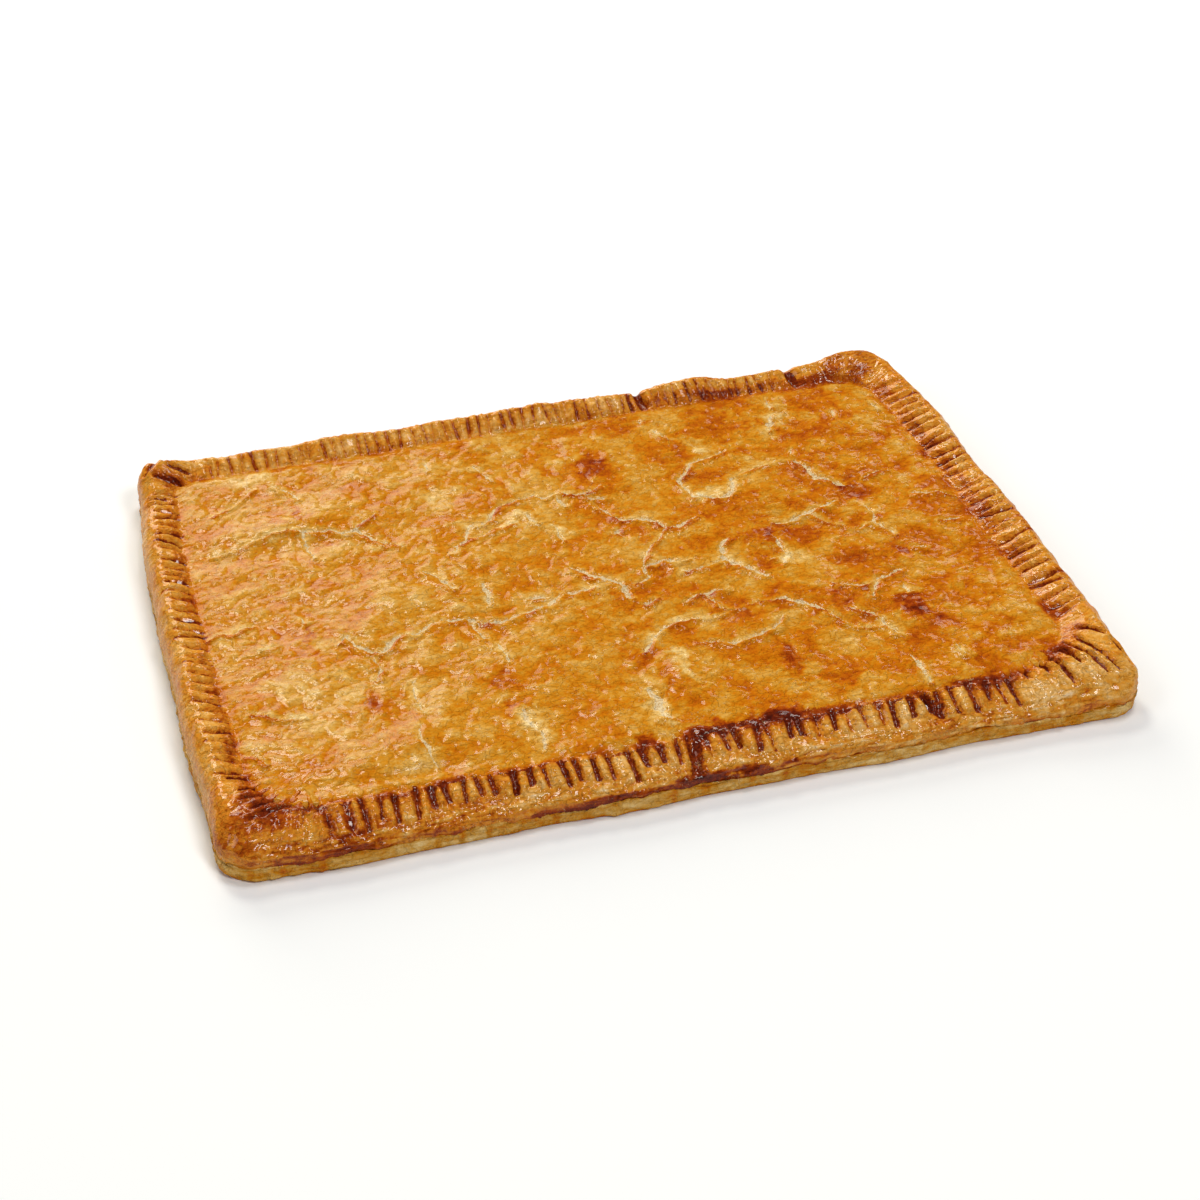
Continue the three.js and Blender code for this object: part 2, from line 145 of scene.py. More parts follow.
# Creases pressed across the fold at its corners and laps: from x, y to x, y, width, depth, browning
FOLD_CREASES = [
    (-182, 142, -189, 132, 1.8, 1.7, 0.50), (-177, 138, -167, 133, 1.5, 1.3, 0.42),
    (-185, 129, -172, 126, 1.9, 1.7, 0.50), (-180, 132, -173, 127, 1.4, 1.2, 0.40),
    (-189, 112, -182, 111, 1.8, 1.8, 0.22), (142, -122, 143, -129, 1.3, 1.4, 0.36),
    (149, -120, 150, -131, 1.4, 1.8, 0.40), (156, -119, 159, -130, 1.4, 1.8, 0.42),
    (161, -116, 164, -127, 1.7, 2.2, 0.46), (164, -127, 168, -138, 1.4, 1.7, 0.36),
    (168, -115, 174, -130, 1.6, 2.1, 0.44), (173, -115, 179, -127, 1.4, 1.8, 0.40),
    (179, -127, 183, -137, 1.4, 1.6, 0.34), (179, -113, 185, -128, 1.4, 1.7, 0.36),
    (185, -128, 189, -137, 1.3, 1.4, 0.30), (183, -107, 192, -116, 1.4, 1.5, 0.32),
    (193.5, -121, 197, -132, 2.0, 1.4, 0.32), (-190, -104, -176, -102, 1.3, 1.0, 0.22),
    (-186, -112, -174, -109, 1.4, 1.2, 0.26), (-187, -119, -172, -113, 1.3, 1.2, 0.30),
    (-183, -125, -160, -114, 1.6, 1.5, 0.34), (-180, -130, -164, -123, 1.4, 1.4, 0.30),
    (-186, -131, -176, -127, 1.2, 1.0, 0.20), (-162, -120, -161, -130, 1.6, 1.6, 0.38),
    (-157, -123, -157, -132, 1.5, 1.4, 0.38), (2, -130, -4, -147, 3.2, 2.2, 0.46),
    (101, -130, 107, -141, 3.0, 1.7, 0.46), (60, 131, 60, 143, 3.0, 1.8, 0.34),
    (142, 131, 140, 142, 3.0, 1.8, 0.34),
]

# Broad swells and hollows of the lid: x, y, reach along x, reach along y, lift
LID_SWELLS = [
    (-138, 74, 34, 9, 2.2), (-140, 55, 36, 7, -1.4), (-152, 101, 12, 7, -1.2), (-120, -119, 36, 5, -1.6),
    (-110, -100, 44, 12, 1.1), (12, -80, 9, 24, 1.4), (22, 80, 13, 15, 1.2), (76, 1, 12, 10, 1.1),
    (121, -66, 13, 14, 1.3), (52, -58, 14, 11, 1.0), (100, 34, 26, 20, 0.9), (-95, 6, 30, 22, 0.8),
    (-40, 76, 20, 24, 0.8), (150, 78, 14, 22, 1.0), (-38, -80, 18, 26, 0.8),
]

# Cracks across the lid: width, and the points the crack runs through
CRACKS = [
    (1.5, [(-131, 112), (-125, 104), (-122, 100), (-121, 95)]),
    (1.6, [(-130, 69), (-124, 65), (-112, 64), (-107, 60), (-101, 61), (-95, 53), (-89, 45), (-83, 41)]),
    (1.0, [(-101, 62), (-95, 68), (-90, 72)]),
    (1.3, [(-125, 65), (-125, 55), (-124, 43)]),
    (1.5, [(-80, 18), (-75, 14), (-71, 5), (-69, 0)]),
    (2.0, [(-127, -26), (-122, -21), (-120, -28), (-115, -34), (-109, -35), (-104, -30), (-100, -27),
           (-90, -27)]),
    (2.4, [(-90, -27), (-88, -23), (-85, -21), (-75, -21), (-69, -22), (-65, -26), (-55, -29), (-46, -26)]),
    (2.0, [(-46, -26), (-40, -25), (-32, -24), (-29, -21), (-24, -16), (-19, -17), (-10, -17), (-1, -15)]),
    (1.4, [(-39, -16), (-34, -15), (-30, -18)]),
    (1.0, [(-115, -39), (-113, -48), (-117, -55)]),
    (1.2, [(-68, -27), (-65, -39)]),
    (1.2, [(-139, -1), (-138, -5)]),
    (0.9, [(-102, -60), (-103, -71), (-102, -82)]),
    (1.6, [(-106, -90), (-108, -100), (-106, -108), (-106, -117)]),
    (2.0, [(-60, -44), (-60, -54), (-59, -59)]),
    (1.8, [(-62, -91), (-63, -99), (-59, -108), (-60, -119)]),
    (3.0, [(-8, -93), (-7, -103), (-7, -113), (-5, -116)]),
    (1.4, [(-35, 101), (-33, 94), (-30, 86), (-29, 83)]),
    (1.2, [(-56, 110), (-57, 101)]),
    (1.8, [(-64, 28), (-60, 30), (-60, 35), (-54, 37), (-52, 43), (-50, 49), (-40, 50), (-38, 55),
           (-33, 59)]),
    (1.4, [(-33, 59), (-27, 63), (-20, 65), (-14, 66), (-10, 63), (-5, 63), (0, 63), (6, 60),
           (13, 61), (18, 64)]),
    (2.2, [(-4, 60), (-2, 52)]),
    (1.3, [(8, 58), (11, 54), (20, 53)]),
    (1.8, [(-26, 53), (-22, 49), (-19, 41)]),
    (0.9, [(-12, 38), (-12, 30), (-11, 25)]),
    (1.4, [(16, 28), (14, 23)]),
    (2.2, [(-56, 2), (-55, -5), (-56, -15)]),
    (2.0, [(10, 51), (15, 44), (16, 38), (19, 34), (26, 32), (30, 30), (35, 26), (38, 22), (41, 20),
           (52, 26)]),
    (2.2, [(-15, 2), (-10, -3), (-6, -9), (0, -12), (2, -16), (5, -18)]),
    (3.4, [(4, -18), (4, -23), (5, -30)]),
    (1.6, [(10, -19), (15, -17), (18, -14), (17, -8), (21, -6), (27, -5), (33, -7), (39, -7)]),
    (1.0, [(8, -34), (16, -32)]),
    (1.5, [(27, -38), (33, -34), (41, -33), (49, -32)]),
    (1.0, [(37, -35), (40, -42), (42, -47)]),
    (1.2, [(34, -15), (41, -15), (50, -13), (55, -12)]),
    (2.6, [(61, 4), (56, -1), (55, -7), (56, -13), (60, -18), (67, -25), (69, -29)]),
    (1.8, [(58, -47), (64, -48), (70, -48), (75, -52)]),
    (3.0, [(73, -50), (80, -56), (84, -60)]),
    (2.0, [(-1, -69), (1, -64), (5, -59)]),
    (1.2, [(5, -59), (12, -54), (18, -51), (26, -50), (31, -52)]),
    (1.2, [(65, -60), (61, -65), (55, -69), (45, -72), (38, -74), (31, -70), (22, -67)]),
    (1.8, [(84, 79), (78, 76), (70, 74), (66, 73), (62, 67), (55, 58), (57, 52), (58, 43), (63, 41)]),
    (2.4, [(60, 43), (63, 41), (70, 37), (76, 41), (79, 47), (79, 52)]),
    (1.2, [(58, 107), (63, 95)]),
    (0.9, [(54, 119), (54, 114)]),
    (3.2, [(118, 104), (116, 97), (113, 89)]),
    (1.4, [(118, 104), (126, 106)]),
    (0.8, [(122, 120), (121, 111)]),
    (0.9, [(150, 100), (148, 91)]),
    (0.9, [(117, 71), (115, 65)]),
    (3.0, [(113, 60), (116, 55), (119, 48), (119, 41), (124, 40), (128, 36), (130, 32)]),
    (1.5, [(85, 12), (91, 10), (98, 12), (103, 15), (112, 17), (122, 22)]),
    (1.2, [(140, 36), (145, 39), (151, 41), (158, 38)]),
    (1.6, [(158, 17), (166, 15), (171, 14), (176, 10)]),
    (0.8, [(171, 102), (172, 93)]),
    (1.4, [(133, 13), (134, 5), (131, -1), (135, -7), (137, -14)]),
    (1.0, [(82, 0), (83, -7), (84, -14)]),
    (1.2, [(75, -15), (81, -17), (79, -22)]),
    (1.5, [(161, -8), (168, -8), (173, -10)]),
    (2.0, [(140, -26), (147, -27)]),
    (1.6, [(107, -58), (111, -52), (116, -45), (122, -43), (129, -40)]),
    (1.2, [(94, -42), (104, -47), (109, -49)]),
    (1.2, [(94, -61), (98, -66), (104, -69), (106, -73), (105, -79), (109, -87)]),
    (1.2, [(126, -52), (125, -59)]),
    (1.8, [(108, -101), (109, -107), (109, -115), (108, -123)]),
    (0.9, [(129, -101), (130, -106), (133, -111)]),
    (0.2, [(-162, 91), (-152, 99), (-140, 110)]),
    (0.2, [(-170, 59), (-158, 61), (-144, 66), (-130, 69)]),
    (0.2, [(-180, -4), (-170, -3), (-160, 0)]),
    (0.2, [(-160, -19), (-152, -18)]),
    (0.2, [(-172, -62), (-160, -69), (-150, -71)]),
    (0.2, [(-178, -88), (-170, -98)]),
    (0.4, [(-54, 37), (-40, 42), (-28, 44)]),
    (0.4, [(79, 52), (92, 58), (106, 62), (113, 60)]),
    (0.4, [(38, 22), (30, 12), (22, 4), (17, -8)]),
    (0.4, [(103, 15), (112, 4), (122, -4), (131, -1)]),
    (0.4, [(84, -60), (88, -70), (98, -78), (105, -79)]),
    (0.4, [(31, -52), (44, -50), (58, -47)]),
]

# Browned patches of the lid: x, y, reach along x, reach along y, strength
BROWN_PATCHES = [
    (20, 82, 9, 12, 0.30), (27, 85, 3, 8, 0.15), (75, 0, 8, 7, 0.28), (122, -68, 8, 9, 0.36),
    (132, -83, 7, 9, 0.24), (133, 27, 7, 7, 0.30), (132, 41, 6, 5, 0.22), (100, -52, 10, 9, 0.20),
    (118, -52, 7, 7, 0.20), (25, -12, 7, 5, 0.24), (52, -60, 10, 10, 0.18), (57, -95, 5, 14, 0.26),
    (68, -54, 5, 5, 0.20), (73, -24, 6, 6, 0.20), (112, -22, 7, 9, 0.16), (135, -28, 2.5, 10, 0.22),
    (137, -17, 3, 3, 0.22), (66, 88, 4, 6, 0.24), (117, 87, 4, 7, 0.26), (148, 78, 4, 8, 0.18),
    (45, 105, 9, 8, 0.12), (-125, 85, 2.5, 11, 0.30), (-125, 38, 4, 4, 0.16), (-124, 21, 8, 6, 0.18),
    (-138, -13, 2, 8, 0.24), (-138, -26, 2, 6, 0.24), (-121, -67, 4, 8, 0.32), (-92, -85, 7, 5, 0.14),
    (-65, -72, 6, 11, 0.20), (-63, -86, 5, 5, 0.20), (-5, -72, 6, 5, 0.22), (3, -85, 5, 8, 0.22),
    (57, 24, 2, 5, 0.18), (25, 13, 5, 6, 0.20), (-160, 127, 9, 3, 0.20), (100, -1, 22, 10, 0.12),
    (30, -126, 28, 5, 0.60), (127, -127, 10, 4, 0.50), (-19, -124, 4, 5, 0.55),
]

# Pale patches of the lid: x, y, reach along x, reach along y, strength
PALE_PATCHES = [
    (65, 43, 9, 5, 0.24), (-57, 75, 7, 13, 0.12), (-140, 117, 14, 7, 0.12), (75, 85, 12, 5, 0.14),
    (97, 67, 9, 5, 0.12), (60, -17, 7, 7, 0.18), (-8, -103, 5, 12, 0.16), (-60, -100, 5, 10, 0.12),
    (85, -18, 7, 6, 0.14), (-30, 40, 10, 8, 0.08), (-140, -60, 22, 20, 0.08), (118, 100, 6, 8, 0.14),
    (12, -80, 3, 18, 0.20),
]

# Burnt places on the fold: x, y, reach along x, reach along y, lowest and highest place, and strength,
# which is below zero where the crust is paler
FOLD_BURNS = [
    (127, -130, 12, 5, 12, 30, 0.42), (63, -129, 9, 4, 12, 30, 0.30), (82, -129, 8, 3, 12, 30, 0.22),
    (42, -128, 13, 6, 12, 30, 0.40), (16, -128, 18, 7, 13, 30, 0.50), (0, -138, 4, 9, 9, 30, 0.28),
    (-18, -128, 4, 3, 14, 30, 0.32), (-64, -129, 9, 2.5, 15, 30, 0.20), (-100, -128, 8, 2.5, 15, 30, 0.18),
    (-150, -140, 46, 12, 8, 30, 0.10), (-184, -132, 18, 18, 8, 30, 0.12), (10, -146, 28, 6, 5, 11.3, 0.64),
    (-38, -146, 14, 6, 5, 10.4, 0.52), (-60, -146, 16, 6, 5, 9.0, 0.30), (170, 134, 22, 10, 15, 40, 0.20),
    (100, 132, 40, 4, 15, 22, 0.20), (-178, -124, 16, 14, 11, 30, 0.14), (-178, 132, 8, 6, 15, 30, 0.18),
    (165, -117, 12, 6, 15, 30, 0.20), (180, -128, 18, 13, 10, 30, -0.11),
]

# How much the inner slope of the fold is browned on each side
INNER_BROWN = {"front": 0.18, "right": 0.18, "back": 0.20, "left": 0.25}

# Tone of the fold on each side before its stains, and how much paler its outer face is
FOLD_TONE = {"front": 0.36, "right": 0.42, "back": 0.36, "left": 0.38}
OUTER_FACE_PALER = {"front": 0.0, "right": 0.10, "back": 0.10, "left": 0.10}

# How much browner the front is towards its left end
FRONT_LEFT_BROWN = 0.15

# How dark the fork marks are stained on each side
MARK_STAIN = {"front": 0.36, "right": 0.17, "back": 0.19, "left": 0.20}

# Scatter of the fork marks: sideways as a share of their spacing, and slant about an inset
MARK_SCATTER = 0.22
MARK_SLANT = 0.14
MARK_MIDDLE = 9.0

# Half width of the fork marks and inset of their outer ends, on the other sides and on the front
MARK_HALF = (0.62, 1.1)
MARK_HALF_SCATTER = 0.3
MARK_END = (5.0, 5.6)
MARK_END_SCATTER = (1.8, 2.6)

# Fork marks fade out at these places: x, y, reach, how much is lost
SMOOTH_PLACES = [
    (166, 140, 24, 1.0), (-190, -138, 16, 0.9), (-186, 136, 14, 0.8), (192, -136, 14, 0.8),
]

# Heights and insets that parts of the fold begin or end between: its top with the creases, its lower edge,
# the flaky ledges of the front wall, the paler outer face, and the gloss of the edge
TOP_HEIGHTS = (9.5, 12.5)
LOWER_HEIGHTS = (7.0, 12.0)
LEDGE_HEIGHTS = (6.8, 8.6)
LEDGE_INSETS = (3.0, 7.5)
OUTER_FACE_HEIGHTS = (9.0, 16.0)
GLOSS_HEIGHTS = (6.5, 8.0)

# Tones above which browning and burning grow more slowly, the darkest tone in a mark and the faintest stain
SLOW_BROWN = 0.66
SLOW_BURN = 0.74
DARKEST_MARK = 0.82
FAINTEST_STAIN = 0.03

# Tone of the lid at its left and at its right, and the places along x that it changes between
# The paler left stands partly for less browning there and partly for painted sheen
LID_TONE = (0.37, 0.45)
LID_TONE_BETWEEN = (-100, 130)

# Noises along the edge: length of a bump along it and across it in millimetres, seed, layers
EDGE_NOISE = {
    "lower_flakes": (22, 0.8, 23, 1), "lower_lumps": (8, 5, 24, 2), "lower_ragged": (5, 3, 30, 2),
    "lower_blotches": (24, 6, 25, 3), "drips": (7, 40, 36, 2), "lip_line": (13, 60, 48, 2),
    "lumps": (9, 7, 11, 1), "puckers": (4.2, 3.4, 13, 2), "streaks": (1.7, 9, 15, 1),
    "flakes": (16, 1.1, 17, 1), "ledges": (15, 2.3, 49, 2), "crumbs": (2.4, 2.0, 39, 1),
    "scallops": (9, 60, 18, 1), "small_scallops": (4, 60, 19, 1), "flare": (24, 60, 20, 1),
    "small_flare": (7, 60, 26, 1), "blotches": (20, 10, 27, 2), "specks": (2.4, 1.8, 43, 2),
    "inner_patches": (19, 40, 28, 2), "seam_patches": (26, 60, 29, 2), "mark_edges": (2.6, 2.2, 37, 2),
}

# Noises of the lid: length of a bump along x and y in millimetres, seed, layers
LID_NOISE = {
    "bend_along": (17, 17, 40, 1), "bend_across": (26, 26, 41, 1), "small_bend": (9, 9, 42, 1),
    "broad": (13, 12, 44, 1), "middle": (5.6, 5.4, 45, 1), "small": (2.9, 2.9, 46, 1),
    "lumps": (9, 7.5, 47, 3), "ripples": (3.2, 2.1, 61, 1), "crumpled_places": (24, 20, 60, 1),
    "plates": (26, 19, 55, 3), "speckled": (3.2, 2.8, 56, 2), "browned_edges": (14, 14, 57, 1),
    "scorched": (14, 14, 58, 2), "crack_width": (4.5, 4.5, 35, 1), "patch_edges": (7, 7, 91, 3),
    "joint": (6, 6, 38, 1),
}

# How far cracks and patches are bent from their places: shift, length of a bump, seed
CRACK_WARP = ((1.2, 8, 31), (0.7, 2.6, 32))
PATCH_WARP = ((2.6, 9, 51), (1.6, 3, 52))

# Rise and dip of the fold's lower edge along the side: height, number of waves, seed
SEAM_WAVES = ((1.3, 36, 21), (0.6, 150, 22))


# Number helpers

def smoothstep(value, low, high):
    t = np.clip((value - low) / (high - low), 0.0, 1.0)
    return t * t * (3.0 - 2.0 * t)


def fade(value, low, high):
    """One up to low, falling smoothly to zero at high."""
    return 1.0 - smoothstep(value, low, high)


def lerp(a, b, t):
    return a + (b - a) * t


def scatter(index, salt):
    wave = np.sin(index * 12.9898 + salt * 78.233) * 43758.5453
    return 2.0 * (wave - np.floor(wave)) - 1.0


def hashed(ix, iy, seed):
    n = (ix.astype(np.int64) * 374761393 + iy.astype(np.int64) * 668265263 + seed * 974711) & 0x7FFFFFFF
    n = ((n ^ (n >> 13)) * 1274126177) & 0x7FFFFFFF
    return ((n ^ (n >> 16)) & 0xFFFFFF) / float(0xFFFFFF)


def noise(x, y, seed, wrap=0):
    """Smooth noise from about -1 to 1 with one bump to a unit, repeating along x after wrap units."""
    ix = np.floor(x)
    iy = np.floor(y)
    fx = x - ix
    fy = y - iy
    ux = fx * fx * fx * (fx * (fx * 6.0 - 15.0) + 10.0)
    uy = fy * fy * fy * (fy * (fy * 6.0 - 15.0) + 10.0)

    def corner(dx, dy):
        cx = np.mod(ix + dx, wrap) if wrap else ix + dx
        angle = 2.0 * np.pi * hashed(cx, iy + dy, seed)
        return np.cos(angle) * (fx - dx) + np.sin(angle) * (fy - dy)

    low = lerp(corner(0, 0), corner(1, 0), ux)
    high = lerp(corner(0, 1), corner(1, 1), ux)
    return 1.5 * lerp(low, high, uy)


def layered(x, y, seed, octaves, wrap=0):
    total = np.zeros_like(x)
    size = 1.0
    for k in range(octaves):
        total += size * noise(x * 2 ** k, y * 2 ** k, seed + k, wrap * 2 ** k)
        size *= 0.5
    return total


def lid_noise(name, x, y):
    """Named noise of the lid."""
    along_x, along_y, seed, octaves = LID_NOISE[name]
    return layered(x / along_x, y / along_y, seed, octaves)


def warped(x, y, shifts):
    """Places in plan moved by noises, each given by its shift, the length of its bumps and its seed."""
    moved_x = x
    moved_y = y
    for shift, length, seed in shifts:
        moved_x = moved_x + shift * noise(x / length, y / length, seed)
        moved_y = moved_y + shift * noise(x / length, y / length, seed + 2)
    return moved_x, moved_y


def blisters(x, y, seed):
    """Domes of uneven size, one to a unit square, each with its own height from 0 to 1."""
    ix = np.floor(x)
    iy = np.floor(y)
    height = np.zeros_like(x)
    for dx in (-1, 0, 1):
        for dy in (-1, 0, 1):
            cx = ix + dx
            cy = iy + dy
            middle_x = cx + 0.15 + 0.7 * hashed(cx, cy, seed)
            middle_y = cy + 0.15 + 0.7 * hashed(cx, cy, seed + 1)
            reach = 0.25 + 0.45 * hashed(cx, cy, seed + 2)
            tall = hashed(cx, cy, seed + 3) ** 2
            away = np.hypot(x - middle_x, y - middle_y) / reach
            height = np.maximum(height, tall * np.sqrt(np.clip(1.0 - away ** 2, 0.0, 1.0)))
    return height


def soft_patch(x, y, px, py, along_x, along_y):
    """One at a place, fading out over its reach along x and y."""
    return np.exp(-((x - px) / along_x) ** 2 - ((y - py) / along_y) ** 2)


def bumps(x, y, places):
    """Sum of soft patches, each given by its place, its reach along x and y, and its strength."""
    return sum(place[4] * soft_patch(x, y, *place[:4]) for place in places)


def patches(x, y, places):
    """Sum of patches like those of bumps, but with ragged, clear edges."""
    ragged = 0.3 * lid_noise("patch_edges", x, y)
    total = np.zeros_like(x)
    for place in places:
        near = soft_patch(x, y, *place[:4])
        total += place[4] * smoothstep(near + ragged * smoothstep(near, 0.02, 0.3), 0.2, 0.75)
    return total


def to_segment(x, y, ax, ay, bx, by):
    """Distance to a straight line from a to b, and how far along it the nearest point is."""
    dx = bx - ax
    dy = by - ay
    t = np.clip(((x - ax) * dx + (y - ay) * dy) / (dx * dx + dy * dy), 0.0, 1.0)
    return np.hypot(x - ax - t * dx, y - ay - t * dy), t


# The outline

class Corner:
    """A corner of the outline: where it starts and ends on the sides, and the arcs it turns through."""

    def __init__(self, before, after, name, signs, facing):
        self.before = before
        self.after = after
        self.facing = math.radians(facing)
        self.outer_radius = OUTER_RADIUS[name]
        self.lid_radius = LID_RADIUS[name]
        self.along_before = np.array([-math.sin(self.facing), math.cos(self.facing)])
        self.along_after = np.array([-math.cos(self.facing), -math.sin(self.facing)])
        self.reach_before = LIP_INSET[after] + self.lid_radius
        self.reach_after = LIP_INSET[before] + self.lid_radius
        tip = np.array([signs[0] * LENGTH / 2, signs[1] * WIDTH / 2])
        self.start = tip - self.along_before * self.reach_before
        self.end = tip + self.along_after * self.reach_after
        self.turning = math.pi / 2 * self.outer_radius
        self.length = self.reach_before + self.reach_after - 2 * self.outer_radius + self.turning

    def points(self, share):
        """Points on the outline and on the lip at shares of the way round the corner."""
        walked = share * self.length
        straight = self.reach_before - self.outer_radius
        first = np.minimum(walked, straight)
        turned = np.clip((walked - straight) / self.turning, 0.0, 1.0) * math.pi / 2
        last = np.maximum(walked - straight - self.turning, 0.0)
        ahead = first + self.outer_radius * np.sin(turned)
        across = last + self.outer_radius * (1.0 - np.cos(turned))
        outer = self.start + np.outer(ahead, self.along_before) + np.outer(across, self.along_after)
        angle = self.facing + share * math.pi / 2
        middle = self.start + self.along_after * self.reach_after
        lip = middle + self.lid_radius * np.stack([np.cos(angle), np.sin(angle)], axis=1)
        return outer, lip


class Walk:
    """The way round the pie, anticlockwise: points on the outline and on the lip, and the side each is on."""

    def __init__(self):
        corners = [Corner(*corner) for corner in CORNERS]
        side_lengths = []
        for k, corner in enumerate(corners):
            side_lengths.append(np.linalg.norm(corner.start - corners[k - 1].end))
        self.length = sum(side_lengths) + sum(corner.length for corner in corners)
        self.along = (np.arange(EDGE_SAMPLES) + 0.5) * self.length / EDGE_SAMPLES
        self.turn = self.along / self.length
        self.outer = np.zeros((EDGE_SAMPLES, 2))
        self.lip = np.zeros((EDGE_SAMPLES, 2))
        self.sides = {side: np.zeros(EDGE_SAMPLES) for side in SIDES}
        self.run_length = np.ones(EDGE_SAMPLES)
        self.run_along = np.zeros(EDGE_SAMPLES)
        self.run_side = np.zeros(EDGE_SAMPLES, dtype=int)
        start = 0.0
        for k, corner in enumerate(corners):
            walked = self.along - start
            part = (walked >= 0) & (walked < side_lengths[k])
            inward = -np.array([math.cos(corner.facing), math.sin(corner.facing)])
            self.outer[part] = corners[k - 1].end + np.outer(walked[part], corner.along_before)
            self.lip[part] = self.outer[part] + inward * LIP_INSET[corner.before]
            self.sides[corner.before][part] = 1.0
            near = (walked >= -corners[k - 1].length / 2) & (walked < side_lengths[k] + corner.length / 2)
            near = near | (walked >= self.length - corners[k - 1].length / 2)
            wrapped = walked > self.length / 2 + side_lengths[k]
            self.run_along[near] = (walked - np.where(wrapped, self.length, 0.0))[near]
            self.run_length[near] = side_lengths[k]
            self.run_side[near] = k
            start += side_lengths[k]
            walked = self.along - start
            part = (walked >= 0) & (walked < corner.length)
            share = walked[part] / corner.length
            self.outer[part], self.lip[part] = corner.points(share)
            self.sides[corner.before][part] = fade(share, 0.1, 0.9)
            self.sides[corner.after][part] = smoothstep(share, 0.1, 0.9)
            start += corner.length
        out = self.outer - self.lip
        out = out / np.linalg.norm(out, axis=1)[:, None]
        self.out_x, self.out_y = out.T


def narrowing(x, y):
    """Share of its length that the pie keeps along x at a place in plan."""
    left = NARROWING["left_share"] * smoothstep(y, NARROWING["left_from"], WIDTH / 2)
    right = NARROWING["right_share"] * smoothstep(y, NARROWING["right_from"], WIDTH / 2)
    return 1.0 - np.where(x < 0, left, right)


def edge_wander(x, y):
    return 1 + 0.6 * np.sin(x / 17 + y / 23) + 0.4 * np.sin(x / 9.3 - y / 11.7 + 2)


def crest_lift(x, y):
    lift = 0.5 * np.sin(x / 13 + y / 19 + 1) + 0.4 * np.sin(x / 7.1 - y / 8.3)
    for px, py, reach, amount in CREST_SWELLS:
        lift = lift + amount * soft_patch(x, y, px, py, reach, reach)
    return lift


# The edge

def smooth_rows(stations, counts):
    """Rows on a smooth curve through the stations, with a count of rows from each to the next."""
    stations = np.array(stations, dtype=float)
    rows = []
    for k, count in enumerate(counts):
        p0 = stations[max(k - 1, 0)]
        p1 = stations[k]
        p2 = stations[k + 1]
        p3 = stations[min(k + 2, len(stations) - 1)]
        for step in range(count):
            t = step / count
            rows.append(0.5 * (2 * p1 + (p2 - p0) * t + (2 * p0 - 5 * p1 + 4 * p2 - p3) * t ** 2
                               + (3 * p1 - p0 - 3 * p2 + p3) * t ** 3))
    rows.append(stations[-1])
    return np.array(rows)


class EdgeSurface:
    """Rows of points round the outline, before relief: plan, height, outward normal and mark weight."""

    def __init__(self, walk, section, counts):
        self.walk = walk
        self.sides = walk.sides
        self.inset = np.zeros((sum(counts) + 1, EDGE_SAMPLES))
        self.height = np.zeros_like(self.inset)
        self.mark = np.zeros_like(self.inset)
        self.share = np.zeros_like(self.inset)
        for side in SIDES:
            rows = smooth_rows(section[side], counts)
            self.inset += np.outer(rows[:, 0], walk.sides[side])
            self.height += np.outer(rows[:, 1], walk.sides[side])
            self.mark += np.outer(rows[:, 2], walk.sides[side])
            self.share += np.outer(rows[:, 0] / LIP_INSET[side], walk.sides[side])
        x = lerp(walk.outer[:, 0], walk.lip[:, 0], self.share)
        self.y = lerp(walk.outer[:, 1], walk.lip[:, 1], self.share)
        self.x = x * narrowing(x, self.y)
        step_in = np.gradient(self.inset, axis=0)
        step_up = np.gradient(self.height, axis=0)
        size = np.hypot(step_in, step_up) + 1e-6
        self.normal_out = step_up / size
        self.normal_up = step_in / size
        self.travelled = np.cumsum(size, axis=0)

    def by_side(self, values):
        """A value given for each side, blended round the corners."""
        return sum(values[side] * self.sides[side] for side in SIDES)

    def noise(self, name):
        """Named noise of the edge, joined where the walk ends."""
        along_mm, across_mm, seed, octaves = EDGE_NOISE[name]
        wrap = round(self.walk.length / along_mm)
        across = self.travelled / across_mm
        turns = np.broadcast_to(self.walk.turn * wrap, across.shape).copy()
        return layered(turns, across, seed, octaves, wrap)

    def placed(self, relief, shift_in=0.0, shift_up=0.0):
        """Points in space with relief along the normal, and shifts inwards and upwards."""
        lifted = smoothstep(self.height, LIFT_FROM, LIFT_FULL)
        lean = RIGHT_LEAN * np.maximum(0.0, self.walk.out_x) * lifted
        inward = edge_wander(self.x, self.y) - lean - relief * self.normal_out + shift_in
        z = self.height + lifted * crest_lift(self.x, self.y) + relief * self.normal_up + shift_up
        x = self.x - self.walk.out_x * inward
        y = self.y - self.walk.out_y * inward
        return np.stack([x, y, z], axis=2)


def seam_wander(walk):
    """How far the fold's lower edge rises and dips along the side."""
    zeros = np.zeros_like(walk.turn)
    return sum(height * noise(walk.turn * count, zeros, seed, count) for height, count, seed in SEAM_WAVES)


def lower_crust(walk):
    """Points of the lower sheet's edge with their browning."""
    section = {side: [station + (0.0,) for station in LOWER_SECTION] for side in SIDES}
    surface = EdgeSurface(walk, section, LOWER_ROWS)
    rise = smoothstep(surface.height, 0.0, 1.5)
    flakes = surface.noise("lower_flakes")
    lumps = surface.noise("lower_lumps")
    ragged = surface.noise("lower_ragged")
    relief = rise * (0.35 * flakes + 0.7 * lumps + 0.5 * ragged)
    up = seam_wander(walk) * smoothstep(surface.height, 1.5, 6.5)
    points = surface.placed(relief, 0.0, up)
    points[0, :, 2] = 0.0
    points[:, :, 2] = np.maximum(points[:, :, 2], 0.0)
    drips = smoothstep(surface.noise("drips"), 0.25, 0.7)
    brown = 0.27 + 0.10 * flakes + 0.14 * surface.noise("lower_blotches") - 0.10 * ragged + 0.14 * drips
    brown = brown + 0.14 * fade(surface.height, 0.0, 1.6) + 0.04 * surface.sides["front"]
    return points, brown


